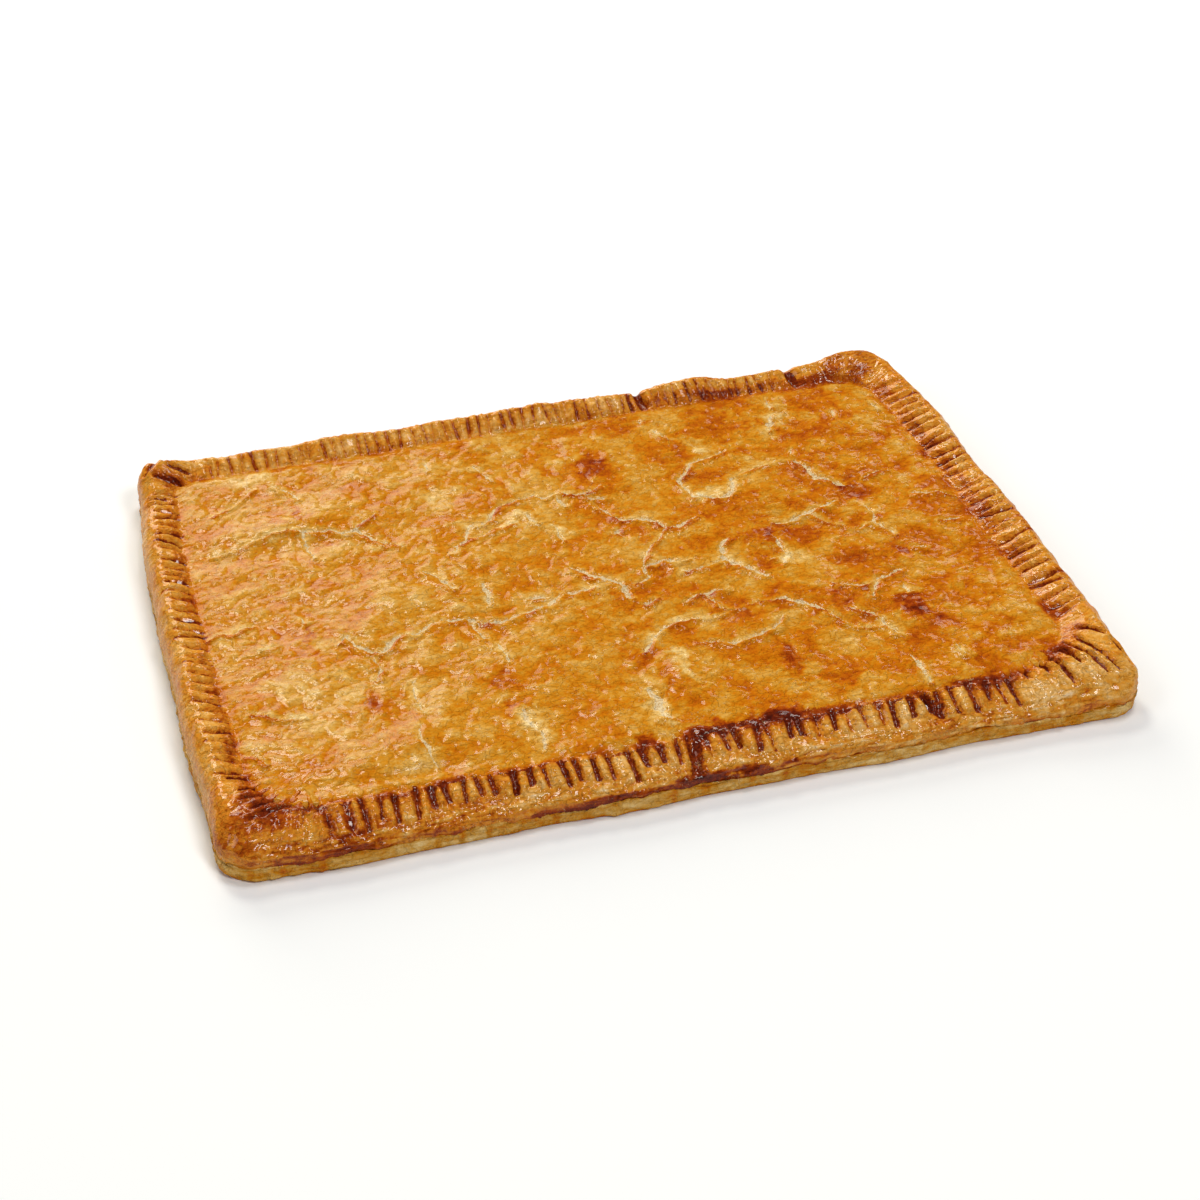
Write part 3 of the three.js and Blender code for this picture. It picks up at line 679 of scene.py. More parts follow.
def fork_marks(walk, inset, front):
    """Distance to the nearest fork mark, its half width, its depth and where its outer end is."""
    pitches = np.array([FORK_PITCH[side] for side in SIDES])[walk.run_side]
    count = np.round(walk.run_length / pitches)
    pitch = walk.run_length / count
    gap = np.full_like(inset, NO_MARK_GAP)
    nearest = np.zeros(inset.shape, dtype=int)
    for step in (-1, 0, 1):
        number = np.floor(walk.run_along / pitch) + step
        name = (number + 100 * walk.run_side).astype(int)
        centre = (number + 0.5 + MARK_SCATTER * scatter(name, 1)) * pitch
        slant = MARK_SLANT * scatter(name, 3) * (inset - MARK_MIDDLE)
        away = np.abs(walk.run_along - centre - slant)
        away = np.where((number >= 0) & (number < count), away, NO_MARK_GAP)
        closer = away < gap
        gap = np.where(closer, away, gap)
        nearest = np.where(closer, name, nearest)
    half = lerp(*MARK_HALF, front) + MARK_HALF_SCATTER * scatter(nearest, 4)
    half = half * lerp(0.95, 1.05, smoothstep(inset, 3.0, 14.0))
    pressed = np.clip(0.68 + 0.5 * scatter(nearest, 2), 0.10, 1.1)
    outer_end = lerp(*MARK_END, front) + lerp(*MARK_END_SCATTER, front) * scatter(nearest, 5)
    return gap, half, pressed, outer_end


def creased(x, y):
    """Depth and browning of the creases at the fold's corners and laps, and how far inside one a point is."""
    depth = np.zeros_like(x)
    brown = np.zeros_like(x)
    inside = np.full_like(x, UNMARKED)
    for ax, ay, bx, by, width, deep, strength in FOLD_CREASES:
        distance, t = to_segment(x, y, ax, ay, bx, by)
        near = np.exp(-(distance / (0.85 * width)) ** 2) * (0.6 + 1.6 * t * (1.0 - t))
        beside = np.exp(-((distance - 1.3 * width) / (0.7 * width)) ** 2)
        depth += 1.15 * deep * near - 0.42 * deep * beside
        halo = 0.45 * np.exp(-(distance / (1.5 * width)) ** 2)
        brown = np.maximum(brown, 0.9 * strength * np.maximum(near, 0.8 * halo))
        half = width * (0.28 + 0.42 * np.sqrt(np.clip(4.0 * t * (1.0 - t), 0.0, 1.0)))
        inside = np.maximum(inside, half - distance)
    return depth, brown, inside


class Fold:
    """The folded edge, which runs on over the lid's edge: its points and the fields that colour it."""

    def __init__(self, walk):
        section = {}
        for side in SIDES:
            lap = [(LIP_INSET[side] + past, LID_EDGE_HEIGHT + up, mark) for past, up, mark in LAP_SECTION]
            section[side] = FOLD_SECTION[side] + lap
        surface = EdgeSurface(walk, section, FOLD_ROWS)
        self.surface = surface
        self.height = surface.height
        self.front = np.broadcast_to(surface.sides["front"], self.height.shape)
        self.shows = smoothstep(surface.share, 0.0, 0.05)
        self.top = smoothstep(self.height, *TOP_HEIGHTS)
        self.lower_edge = fade(self.height, *LOWER_HEIGHTS)
        self.outside = self.lower_edge * (surface.inset < 4.0)
        self.lumps = surface.noise("lumps")
        self.puckers = np.abs(surface.noise("puckers"))
        self.streaks = surface.noise("streaks")
        self.flakes = surface.noise("flakes")
        wall = self.front * smoothstep(self.height, *LEDGE_HEIGHTS) * fade(surface.inset, *LEDGE_INSETS)
        self.ledges = wall * (np.abs(surface.noise("ledges")) - 0.25)
        self.press_marks()
        self.shape()
        self.bake()
        self.join_lid()
        self.burn()

    def press_marks(self):
        """Fork marks and creases: their depth, their stains and how far inside one a point is."""
        surface = self.surface
        gap, half, pressed, outer_end = fork_marks(surface.walk, surface.inset, self.front)
        keep = np.ones_like(self.height)
        for px, py, reach, lost in SMOOTH_PLACES:
            keep = keep - lost * soft_patch(surface.x, surface.y, px, py, reach, reach)
        self.keep = np.clip(keep, 0.0, 1.0)
        weight = surface.mark * smoothstep(surface.inset, outer_end, outer_end + 1.0) * self.keep
        self.groove = weight * pressed * fade(gap, 0.6 * half, 1.3 * half)
        self.pillow = weight * smoothstep(gap, half, half + 1.8)
        ragged_gap = gap + 0.4 * surface.noise("mark_edges")
        self.stain = weight * pressed * fade(ragged_gap, 0.8 * half, 2.0 * half)
        in_mark = np.minimum(half * np.clip(0.3 + 0.8 * pressed, 0.3, 1.1) - gap, surface.inset - outer_end)
        in_mark = np.minimum(in_mark, 18.0 * (1.03 - surface.share)) - 3.0 * (1.0 - self.keep)
        from_lip = np.abs(LIP_INSET["front"] * (1.0 - surface.share) - 1.0)
        lip_line = 0.2 + 1.3 * surface.noise("lip_line") - from_lip - 4.0 * (1.0 - self.front)
        in_mark = np.where(surface.mark > 0.02, np.maximum(in_mark, lip_line), UNMARKED)
        self.crease_depth, self.crease_brown, in_crease = creased(surface.x, surface.y)
        in_crease = np.where(self.height > 10.0, in_crease, UNMARKED)
        self.mark_inside = np.maximum(in_mark, in_crease)
        mark_stain = surface.by_side(MARK_STAIN) * np.clip(0.4 + 0.7 * pressed, 0.45, 1.0)
        self.mark_stain = np.where(in_crease > in_mark, CREASE_STAIN, mark_stain)

    def shape(self):
        """Points of the fold with its relief."""
        surface = self.surface
        relief = 1.1 * self.pillow - surface.by_side(FORK_DEPTH) * self.groove - self.top * self.crease_depth
        relief = relief + 0.6 * self.lumps + lerp(0.35, 0.8, self.front) * self.puckers
        relief = relief + lerp(0.08, 0.16, self.front) * self.streaks * self.top
        relief = relief + 0.6 * self.flakes * (1.0 - self.top)
        relief = relief + lerp(0.15, 0.5, self.front) * np.abs(surface.noise("crumbs")) * self.shows
        relief = relief + self.ledges
        lip = smoothstep(surface.share, 0.75, 0.97) * (surface.normal_up > -0.5)
        scallop = 1.2 * surface.noise("scallops") + 0.6 * surface.noise("small_scallops")
        flare = 0.7 * surface.noise("flare") + 0.5 * surface.noise("small_flare")
        shift_in = lip * scallop - self.outside * flare
        self.points = surface.placed(relief, shift_in, seam_wander(surface.walk) * self.lower_edge)

    def bake(self):
        """Browning of the fold with painted highlights on the tops of its pillows and puckers, and the
        valleys where its wash lies thick.
        """
        surface = self.surface
        front = self.front
        tone = surface.by_side(FOLD_TONE)
        # The tops of the puckers and of the pillows between the fork marks are paler: painted highlights.
        tone = tone + 0.05 * self.lumps - 0.08 * (self.puckers - 0.25) + 0.09 * self.streaks * self.keep
        tone = tone - lerp(0.05, 0.12, front) * self.pillow + 0.14 * surface.noise("blotches")
        paler = surface.by_side(OUTER_FACE_PALER)
        tone = tone - paler * fade(self.height, *OUTER_FACE_HEIGHTS) * (surface.share < 0.3)
        tone = tone + (0.10 * self.flakes + 0.04 * front) * (1.0 - self.top)
        tone = tone - 0.45 * self.ledges
        specks = surface.noise("specks")
        tone = tone - 0.06 * smoothstep(specks, 0.15, 0.6) + 0.06 * smoothstep(-specks, 0.15, 0.6)
        tone = tone + FRONT_LEFT_BROWN * front * fade(surface.x, -150.0, -30.0)
        inner = surface.by_side(INNER_BROWN)
        inner = inner - 0.18 * surface.sides["back"] * fade(surface.x, 20.0, 100.0)
        patchy = np.clip(0.75 + 0.7 * surface.noise("inner_patches"), 0.0, 1.2)
        starts = lerp(0.60, 0.76, front)
        tone = tone + inner * patchy * smoothstep(surface.share, starts, starts + 0.2)
        edge_line = np.exp(-((self.height - 7.0) / 0.9) ** 2) * self.outside
        tone = tone + 0.24 * edge_line * np.clip(0.5 + 1.3 * surface.noise("seam_patches"), 0.0, 1.3)
        tone = tone + lerp(0.13, 0.22, front) * self.stain
        self.tone = tone - lerp(0.5, 0.15, front) * np.maximum(tone - SLOW_BROWN, 0.0)
        valley = self.groove + 0.5 * self.crease_brown + (0.15 + 0.15 * front) * self.top
        self.valley = np.clip(valley, 0.0, 1.0) * self.shows

    def join_lid(self):
        """Lays the fold's inner rows on the lid and blends their fields into the lid's."""
        self.aside = np.full_like(self.height, NO_CRACK_ASIDE)
        self.opened = np.full_like(self.height, NO_CRACK_OPENED)
        self.on_edge = smoothstep(self.height, *GLOSS_HEIGHTS)
        shape = self.tone[LAP_ROWS].shape
        plan = self.points[LAP_ROWS].reshape(-1, 3)
        from_fold = inside_lip(plan[:, 0], plan[:, 1])
        on_lid, lid_brown, lid_aside, lid_opened, lid_valley = lid_surface(plan[:, 0], plan[:, 1])
        on_lid[:, 2] += 0.03 - 0.5 * smoothstep(from_fold, 3.0, LAP - 1.0)
        joined = smoothstep(from_fold, -1.5, 2.0)
        self.points[LAP_ROWS] = lerp(plan, on_lid, joined[:, None]).reshape(shape + (3,))
        blurred = smoothstep(from_fold + 1.8 * lid_noise("joint", plan[:, 0], plan[:, 1]), -1.5, 2.0)
        self.tone[LAP_ROWS] = lerp(self.tone[LAP_ROWS], lid_brown.reshape(shape), blurred.reshape(shape))
        self.tone = self.tone + self.top * self.crease_brown
        self.aside[LAP_ROWS] = lid_aside.reshape(shape)
        self.opened[LAP_ROWS] = np.where(joined > 0.5, lid_opened, NO_CRACK_OPENED).reshape(shape)
        joined = joined.reshape(shape)
        self.valley[LAP_ROWS] = lerp(self.valley[LAP_ROWS], lid_valley.reshape(shape), joined)
        self.points[LAP_ROWS, :, 2] -= 0.8 * (self.top * self.crease_depth)[LAP_ROWS] * joined
        self.on_edge[LAP_ROWS] *= 1.0 - joined

    def burn(self):
        """Darkens the burnt places, and lightens those that are paler."""
        surface = self.surface
        ragged = np.clip(0.6 + 1.3 * self.puckers, 0.2, 1.5)
        for px, py, along_x, along_y, lowest, highest, strength in FOLD_BURNS:
            above = smoothstep(self.height, lowest - 1.0, lowest + 1.0)
            below = fade(self.height, highest - 1.0, highest + 1.0)
            burn = strength * above * below * ragged
            burn = burn * soft_patch(surface.x, surface.y, px, py, along_x, along_y)
            self.tone = self.tone + burn
            self.valley = np.maximum(self.valley, np.clip(2.2 * burn, 0.0, 1.0) * self.shows)
        self.tone = self.tone - 0.7 * np.maximum(self.tone - SLOW_BURN, 0.0)

    def fields(self):
        """Point fields by name, in the order of the points."""
        fields = {
            "brown": self.tone,
            "crack_aside": self.aside,
            "crack_opened": self.opened,
            "valley": self.valley,
            "mark_inside": self.mark_inside,
            "mark_stain": np.clip(DARKEST_MARK - self.tone, FAINTEST_STAIN, self.mark_stain),
            "edge": self.on_edge,
        }
        return {name: values.ravel() for name, values in fields.items()}


# The lid

def inside_lip(x, y):
    """Distance in from the lip, below zero under the fold."""
    dx = x / narrowing(x, y) - (LIP_INSET["left"] - LIP_INSET["right"]) / 2
    dy = y - (LIP_INSET["front"] - LIP_INSET["back"]) / 2
    half_x = LENGTH / 2 - (LIP_INSET["left"] + LIP_INSET["right"]) / 2 - 1.0
    half_y = WIDTH / 2 - (LIP_INSET["front"] + LIP_INSET["back"]) / 2 - 1.0
    front = np.where(dx < 0, LID_RADIUS["front_left"], LID_RADIUS["front_right"])
    back = np.where(dx < 0, LID_RADIUS["back_left"], LID_RADIUS["back_right"])
    radius = np.where(dy < 0, front, back)
    past_x = np.abs(dx) - half_x + radius
    past_y = np.abs(dy) - half_y + radius
    round_part = np.hypot(np.maximum(past_x, 0.0), np.maximum(past_y, 0.0))
    return radius - round_part - np.minimum(np.maximum(past_x, past_y), 0.0)


def lid_height(x, y):
    """Height of the lid before its fine relief, and how fully it has risen from the lip."""
    from_fold = inside_lip(x, y)
    rise = smoothstep(from_fold, 0.0, LID_RISE_REACH)
    height = LID_EDGE_HEIGHT + LID_RISE * rise + LID_DOME * smoothstep(from_fold, 0.0, WIDTH / 2)
    height = height + rise * 0.45 * np.sin(x / 8.7 + 1.3 * np.sin(y / 21)) * np.sin(y / 7.9 + np.sin(x / 26))
    height = height + rise * 0.35 * np.sin(x / 19 - y / 14)
    return height + rise * bumps(x, y, LID_SWELLS), rise


def crack_field(x, y):
    """Signed distance to the nearest crack and how far it is open there, below zero where there is none."""
    wx, wy = warped(x, y, CRACK_WARP)
    uneven = lid_noise("crack_width", x, y)
    nearest = np.full_like(x, NO_CRACK_ASIDE)
    aside = np.full_like(x, NO_CRACK_ASIDE)
    opened = np.full_like(x, NO_CRACK_OPENED)
    behind = np.zeros_like(x)
    for width, route in CRACKS:
        route = np.array(route, dtype=float)
        low = route.min(axis=0) - CRACK_REACH
        high = route.max(axis=0) + CRACK_REACH
        near = np.nonzero((wx > low[0]) & (wx < high[0]) & (wy > low[1]) & (wy < high[1]))[0]
        lengths = np.hypot(*np.diff(route, axis=0).T)
        before = 0.0
        for (ax, ay), (bx, by), length in zip(route[:-1], route[1:], lengths):
            distance, t = to_segment(wx[near], wy[near], ax, ay, bx, by)
            share = (before + t * length) / lengths.sum()
            closer = distance < nearest[near]
            picked = near[closer]
            distance, share, t = distance[closer], share[closer], t[closer]
            taper = 0.3 + 0.7 * np.sqrt(np.clip(4 * share * (1 - share), 0, 1))
            half = CRACK_HALF * width * taper * np.clip(0.8 + 1.1 * uneven[picked], 0.1, 1.9)
            past_end = distance * ((share <= 0.0) | (share >= 1.0))
            side = np.sign((bx - ax) * (wy[picked] - ay) - (by - ay) * (wx[picked] - ax))
            nearest[picked] = distance
            aside[picked] = distance * np.where(side < 0, -1.0, 1.0)
            opened[picked] = half - 0.7 * past_end - 0.6 * np.maximum(0.0, distance - 1.2 * half - 0.8)
            behind[picked] = (lerp(ay, by, t) - wy[picked]) / (distance + 0.01)
            before += length
    return aside, opened, behind


def lid_surface(x, y):
    """Points of the lid's top over places in plan, with the fields that colour it."""
    height, rise = lid_height(x, y)
    aside, opened, behind = crack_field(x, y)
    reach = np.abs(aside)
    from_fold = inside_lip(x, y)

    leftness = fade(x, -120.0, 60.0)
    near_front = fade(y, -112.0, -70.0)
    crumpled = lerp(0.85, 1.0, np.maximum(leftness, 0.6 * near_front))
    turn = math.radians(CREASE_TURN)
    u = x * math.cos(turn) + y * math.sin(turn) + 3.5 * lid_noise("bend_along", x, y)
    v = y * math.cos(turn) - x * math.sin(turn)
    v = v + 4.0 * lid_noise("bend_across", x, y) + 2.2 * lid_noise("small_bend", x, y)
    broad = np.abs(lid_noise("broad", u, v))
    middle = np.abs(lid_noise("middle", u, v))
    small = np.abs(lid_noise("small", u, v))
    lumps = lid_noise("lumps", x, y)
    domes = blisters(x / 6.5, y / 5.5, 70) + 0.5 * blisters(x / 3.6, y / 3.2, 75)
    ripples = lid_noise("ripples", u, v)
    shown = smoothstep(lid_noise("crumpled_places", x, y), -0.4, 0.2)
    relief = 0.6 * broad + 0.5 * (0.35 + 0.65 * shown) * middle + 0.32 * small - 0.4
    relief = crumpled * relief + 0.14 * shown * ripples
    relief = relief + 0.3 * lumps + lerp(0.3, 0.1, leftness) * domes
    creases = np.exp(-(broad / 0.07) ** 2) + 0.7 * shown * np.exp(-(middle / 0.08) ** 2)
    valley = np.clip(crumpled * creases, 0.0, 1.0)
    gap = smoothstep(opened - reach, -0.6, 0.3)
    edge_of_plate = smoothstep(behind, -0.2, 0.7) * (opened > -0.9)
    relief = relief * (1.0 - 0.6 * gap) - 0.8 * gap
    relief = relief + 0.9 * edge_of_plate * (1.0 - gap) * np.exp(-(reach / 6.0) ** 2)
    relief = relief * smoothstep(from_fold, -2.5, 1.5)
    points = np.stack([x, y - FRONT_LEAN * relief * rise, height + relief], axis=1)

    warp_x, warp_y = warped(x, y, PATCH_WARP)
    plates = lid_noise("plates", warp_x, warp_y)
    clear = 2.0 * smoothstep(plates, -0.12, 0.12) - 1.0
    brown = lerp(*LID_TONE, smoothstep(x, *LID_TONE_BETWEEN))
    brown = brown + lerp(1.0, 0.6, leftness) * (0.08 * plates + 0.04 * clear)
    speckled = np.clip(1.0 + 0.4 * lid_noise("speckled", x, y), 0.4, 1.4)
    brown = brown + 0.6 * speckled * patches(warp_x, warp_y, BROWN_PATCHES)
    brown = brown - 0.9 * patches(warp_x, warp_y, PALE_PATCHES)
    # Higher places of the relief are paler than lower ones: painted sheen on the tops. The creases are
    # browner where the egg wash lies thicker.
    brown = brown + 0.03 * valley - 0.04 * lumps
    brown = brown - 0.10 * (broad - 0.3) - 0.12 * (middle - 0.3) - 0.10 * (small - 0.3)
    uneven = smoothstep(lid_noise("browned_edges", x, y), -0.5, 0.3)
    past_edge = np.maximum(reach - opened - 0.4, 0.0)
    brown = brown + 0.16 * uneven * edge_of_plate * np.exp(-past_edge / 8.0)
    paler = (1.0 - uneven * edge_of_plate) * (opened > -1.5)
    brown = brown - 0.14 * paler * np.exp(-(reach / 2.8) ** 2)
    scorched = np.clip(0.45 + 1.2 * lid_noise("scorched", x, y), 0.0, 1.3)
    brown = brown + lerp(0.2, 0.3, near_front) * np.exp(-(from_fold / 2.2) ** 2) * scorched
    return points, brown, aside, opened, 0.4 * valley


def lid():
    """Grid of the lid, which dips under the fold's sheet all round, with the fields that colour it."""
    left = -LENGTH / 2 + LIP_INSET["left"] + LID_START
    right = LENGTH / 2 - LIP_INSET["right"] - LID_START
    front = -WIDTH / 2 + LIP_INSET["front"] + LID_START
    back = WIDTH / 2 - LIP_INSET["back"] - LID_START
    count_x = round((right - left) / LID_STEP) + 1
    count_y = round((back - front) / LID_STEP) + 1
    grid_x, grid_y = np.meshgrid(np.linspace(left, right, count_x), np.linspace(front, back, count_y))
    y = grid_y.ravel()
    x = grid_x.ravel() * narrowing(grid_x.ravel(), y)
    points, brown, aside, opened, valley = lid_surface(x, y)
    points[:, 2] -= LID_DROP * fade(inside_lip(x, y), 0.6, 2.4)
    return grid_x.shape, points, brown, aside, opened, valley


# Meshes

def add_object(name, data):
    thing = bpy.data.objects.new(name, data)
    bpy.context.scene.collection.objects.link(thing)
    return thing


def mesh_object(name, points, quads, quad_map, larger, larger_map, fields):
    """Closed mesh from points in millimetres, quads and larger faces with their maps, and point fields."""
    mesh = bpy.data.meshes.new(name)
    loops = np.concatenate([quads.ravel()] + [np.array(face) for face in larger])
    sizes = np.concatenate([np.full(len(quads), 4), [len(face) for face in larger]]).astype(int)
    starts = np.concatenate([[0], np.cumsum(sizes)[:-1]])
    mesh.vertices.add(len(points))
    mesh.vertices.foreach_set("co", (points * MM).astype(np.float32).ravel())
    mesh.loops.add(len(loops))
    mesh.loops.foreach_set("vertex_index", loops.astype(np.int32))
    mesh.polygons.add(len(sizes))
    mesh.polygons.foreach_set("loop_start", starts.astype(np.int32))
    mesh.polygons.foreach_set("use_smooth", sizes == 4)
    whole_map = np.concatenate([quad_map.reshape(-1, 2)] + larger_map)
    mesh.uv_layers.new(name="OFBake").data.foreach_set("uv", whole_map.astype(np.float32).ravel())
    for field, values in fields.items():
        attribute = mesh.attributes.new(field, "FLOAT", "POINT")
        attribute.data.foreach_set("value", values.astype(np.float32))
    mesh.update(calc_edges=True)
    mesh.validate()
    piece = add_object(name, mesh)
    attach(piece, "root")
    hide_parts("empanada")
    return piece


def plain_fields(count, brown):
    """Point fields of a piece with its browning alone, without cracks, valleys and marks."""
    return {
        "brown": brown,
        "crack_aside": np.full(count, NO_CRACK_ASIDE),
        "crack_opened": np.full(count, NO_CRACK_OPENED),
        "valley": np.zeros(count),
        "mark_inside": np.full(count, UNMARKED),
        "mark_stain": np.zeros(count),
        "edge": np.zeros(count),
    }


def ring_quads(rows, count, closed):
    """Quads between rows of points round the outline, with a map of four strips, one above the other."""
    column = np.arange(count)
    after = (column + 1) % count
    per_strip = count // STRIPS
    strip = column // per_strip
    strip_left = MAP_MARGIN + MAP_SPAN * (column % per_strip) / per_strip
    strip_right = strip_left + MAP_SPAN / per_strip
    bands = rows if closed else rows - 1
    quads = []
    corners = []
    for k in range(bands):
        low = k * count
        high = ((k + 1) % rows) * count
        quads.append(np.stack([low + column, low + after, high + after, high + column], axis=1))
        bottom = STRIP_SHARE * (strip + STRIP_MARGIN + STRIP_SPAN * k / bands) / STRIPS
        top = STRIP_SHARE * (strip + STRIP_MARGIN + STRIP_SPAN * (k + 1) / bands) / STRIPS
        corners.append(np.stack([
            np.stack([strip_left, bottom], axis=1),
            np.stack([strip_right, bottom], axis=1),
            np.stack([strip_right, top], axis=1),
            np.stack([strip_left, top], axis=1),
        ], axis=1))
    return np.concatenate(quads), np.concatenate(corners)


def flat_map(points, left):
    """Map of a flat face in the strip that the other faces leave free, starting at a share of its width."""
    across = left + FLAT_SPAN * (points[:, 0] + LENGTH / 2) / LENGTH
    up = STRIP_SHARE + FLAT_MARGIN + FLAT_SPAN / 2 * (points[:, 1] + WIDTH / 2) / LENGTH
    return np.stack([across, up], axis=1)


def make_lower_crust(walk):
    points, brown = lower_crust(walk)
    rows, count, _ = points.shape
    flat = points.reshape(-1, 3)
    quads, quad_map = ring_quads(rows, count, False)
    base = np.arange(count)[::-1]
    inside = (rows - 1) * count + np.arange(count)
    maps = [flat_map(flat[base], BASE_LEFT), flat_map(flat[inside], INSIDE_LEFT)]
    fields = plain_fields(len(flat), brown.ravel())
    return mesh_object("lower_crust", flat, quads, quad_map, [base, inside], maps, fields)


def make_folded_edge(walk):
    fold = Fold(walk)
    rows, count, _ = fold.points.shape
    flat = fold.points.reshape(-1, 3)
    quads, quad_map = ring_quads(rows, count, True)
    return mesh_object("folded_edge", flat, quads, quad_map, [], [], fold.fields())


def make_lid():
    (count_y, count_x), points, brown, aside, opened, valley = lid()
    index = np.arange(count_x * count_y).reshape(count_y, count_x)
    quads = np.stack([
        index[:-1, :-1].ravel(), index[:-1, 1:].ravel(), index[1:, 1:].ravel(), index[1:, :-1].ravel(),
    ], axis=1)
    border = np.concatenate([index[0, :-1], index[:-1, -1], index[-1, :0:-1], index[:0:-1, 0]])
    lower = points[border].copy()
    lower[:, 2] = LID_EDGE_HEIGHT - LID_DROP - LID_SKIRT
    start = len(points)
    ring = np.arange(len(border))
    after = (ring + 1) % len(border)
    skirt = np.stack([start + ring, start + after, border[after], border], axis=1)
    under = np.arange(start, start + len(border))[::-1]
    everything = np.concatenate([points, lower])
    spread = np.stack([
        MAP_MARGIN + MAP_SPAN * (everything[:, 0] + LENGTH / 2) / LENGTH,
        MAP_MARGIN + MAP_SPAN * (everything[:, 1] + WIDTH / 2) / LENGTH,
    ], axis=1)
    skirt_map = np.broadcast_to(np.array(SKIRT_MAP), (len(skirt), 4, 2))
    quad_map = np.concatenate([spread[quads], skirt_map])
    source = np.concatenate([index.ravel(), border])
    fields = plain_fields(len(everything), brown[source])
    fields["crack_aside"] = aside[source]
    fields["crack_opened"] = opened[source]
    fields["valley"] = valley[source]
    all_quads = np.concatenate([quads, skirt])
    under_map = flat_map(everything[under], UNDER_LEFT)
    return mesh_object("lid", everything, all_quads, quad_map, [under], [under_map], fields)


# Materials

BROWNING = [
    (0.00, (246, 230, 190)),
    (0.13, (240, 204, 134)),
    (0.27, (219, 167, 78)),
    (0.39, (208, 139, 30)),
    (0.50, (204, 118, 9)),
    (0.62, (183, 89, 7)),
    (0.74, (156, 60, 8)),
    (0.86, (114, 35, 9)),
    (1.00, (74, 20, 9)),
]
CRACK_COLOUR = (230, 210, 170)
CRACK_SHADE = (194, 154, 98)
RIM_COLOUR = (248, 162, 62)
SPECK_COLOUR = (120, 54, 14)
FLOUR_COLOUR = (206, 178, 124)

# Noises of the crust: size of a bump in millimetres, detail, roughness, distortion
CRUST_NOISE = {
    "mottle": (11.0, 4.0, 0.55, 0.0), "small_mottle": (3.2, 5.0, 0.66, 0.0),
    "strokes": (2.6, 3.0, 0.6, 0.7), "fine_strokes": (1.2, 2.0, 0.5, 0.5), "grain": (0.8, 3.0, 0.7, 0.0),
    "layers": (1.3, 2.0, 0.5, 0.4), "flour": (1.1, 3.0, 0.7, 0.0), "wash": (12.0, 2.0, 0.5, 0.0),
    "small_pits": (1.2, 1.0, 0.5, 0.0), "pits": (2.6, 1.0, 0.5, 0.0), "crinkle": (4.2, 2.0, 0.5, 0.8),
}

# How far places are drawn together along x for the strokes and for the flaky layers
STROKE_STRETCH = 0.75
LAYER_STRETCH = 0.2

# Strengths of what colours the crust
LAYER_TONE = 0.34
MARK_RAGGED = 2.6
SPECK_SPACING = 3.4
SPECK_SIZE = 0.16
SPECK_SHARE = 0.6
FLOUR_SHARE = 0.55

# Gloss of the egg wash, from where it lies thick to where it lies thin, and more of it in places
ROUGHNESS = (0.38, 0.56)
COAT = (0.29, 0.21)
COAT_ROUGHNESS = 0.11
VALLEY_COAT = 0.35
EDGE_COAT = 0.14

# Depth in millimetres of the relief that is left to shading, and the shares in it
BUMP_DEPTH = 0.6
SMALL_PIT_SHARE = 0.6
CRINKLE_SHARE = 0.44
EDGE_PITS = 0.25
LAYER_BUMP = 0.9
MARK_BUMP = 0.4
STROKE_BUMP = 0.12


def linear(colour):
    """Light value of a screen colour, with alpha."""
    parts = [channel / 255 for channel in colour]
    return tuple(p / 12.92 if p <= 0.04045 else ((p + 0.055) / 1.055) ** 2.4 for p in parts) + (1.0,)


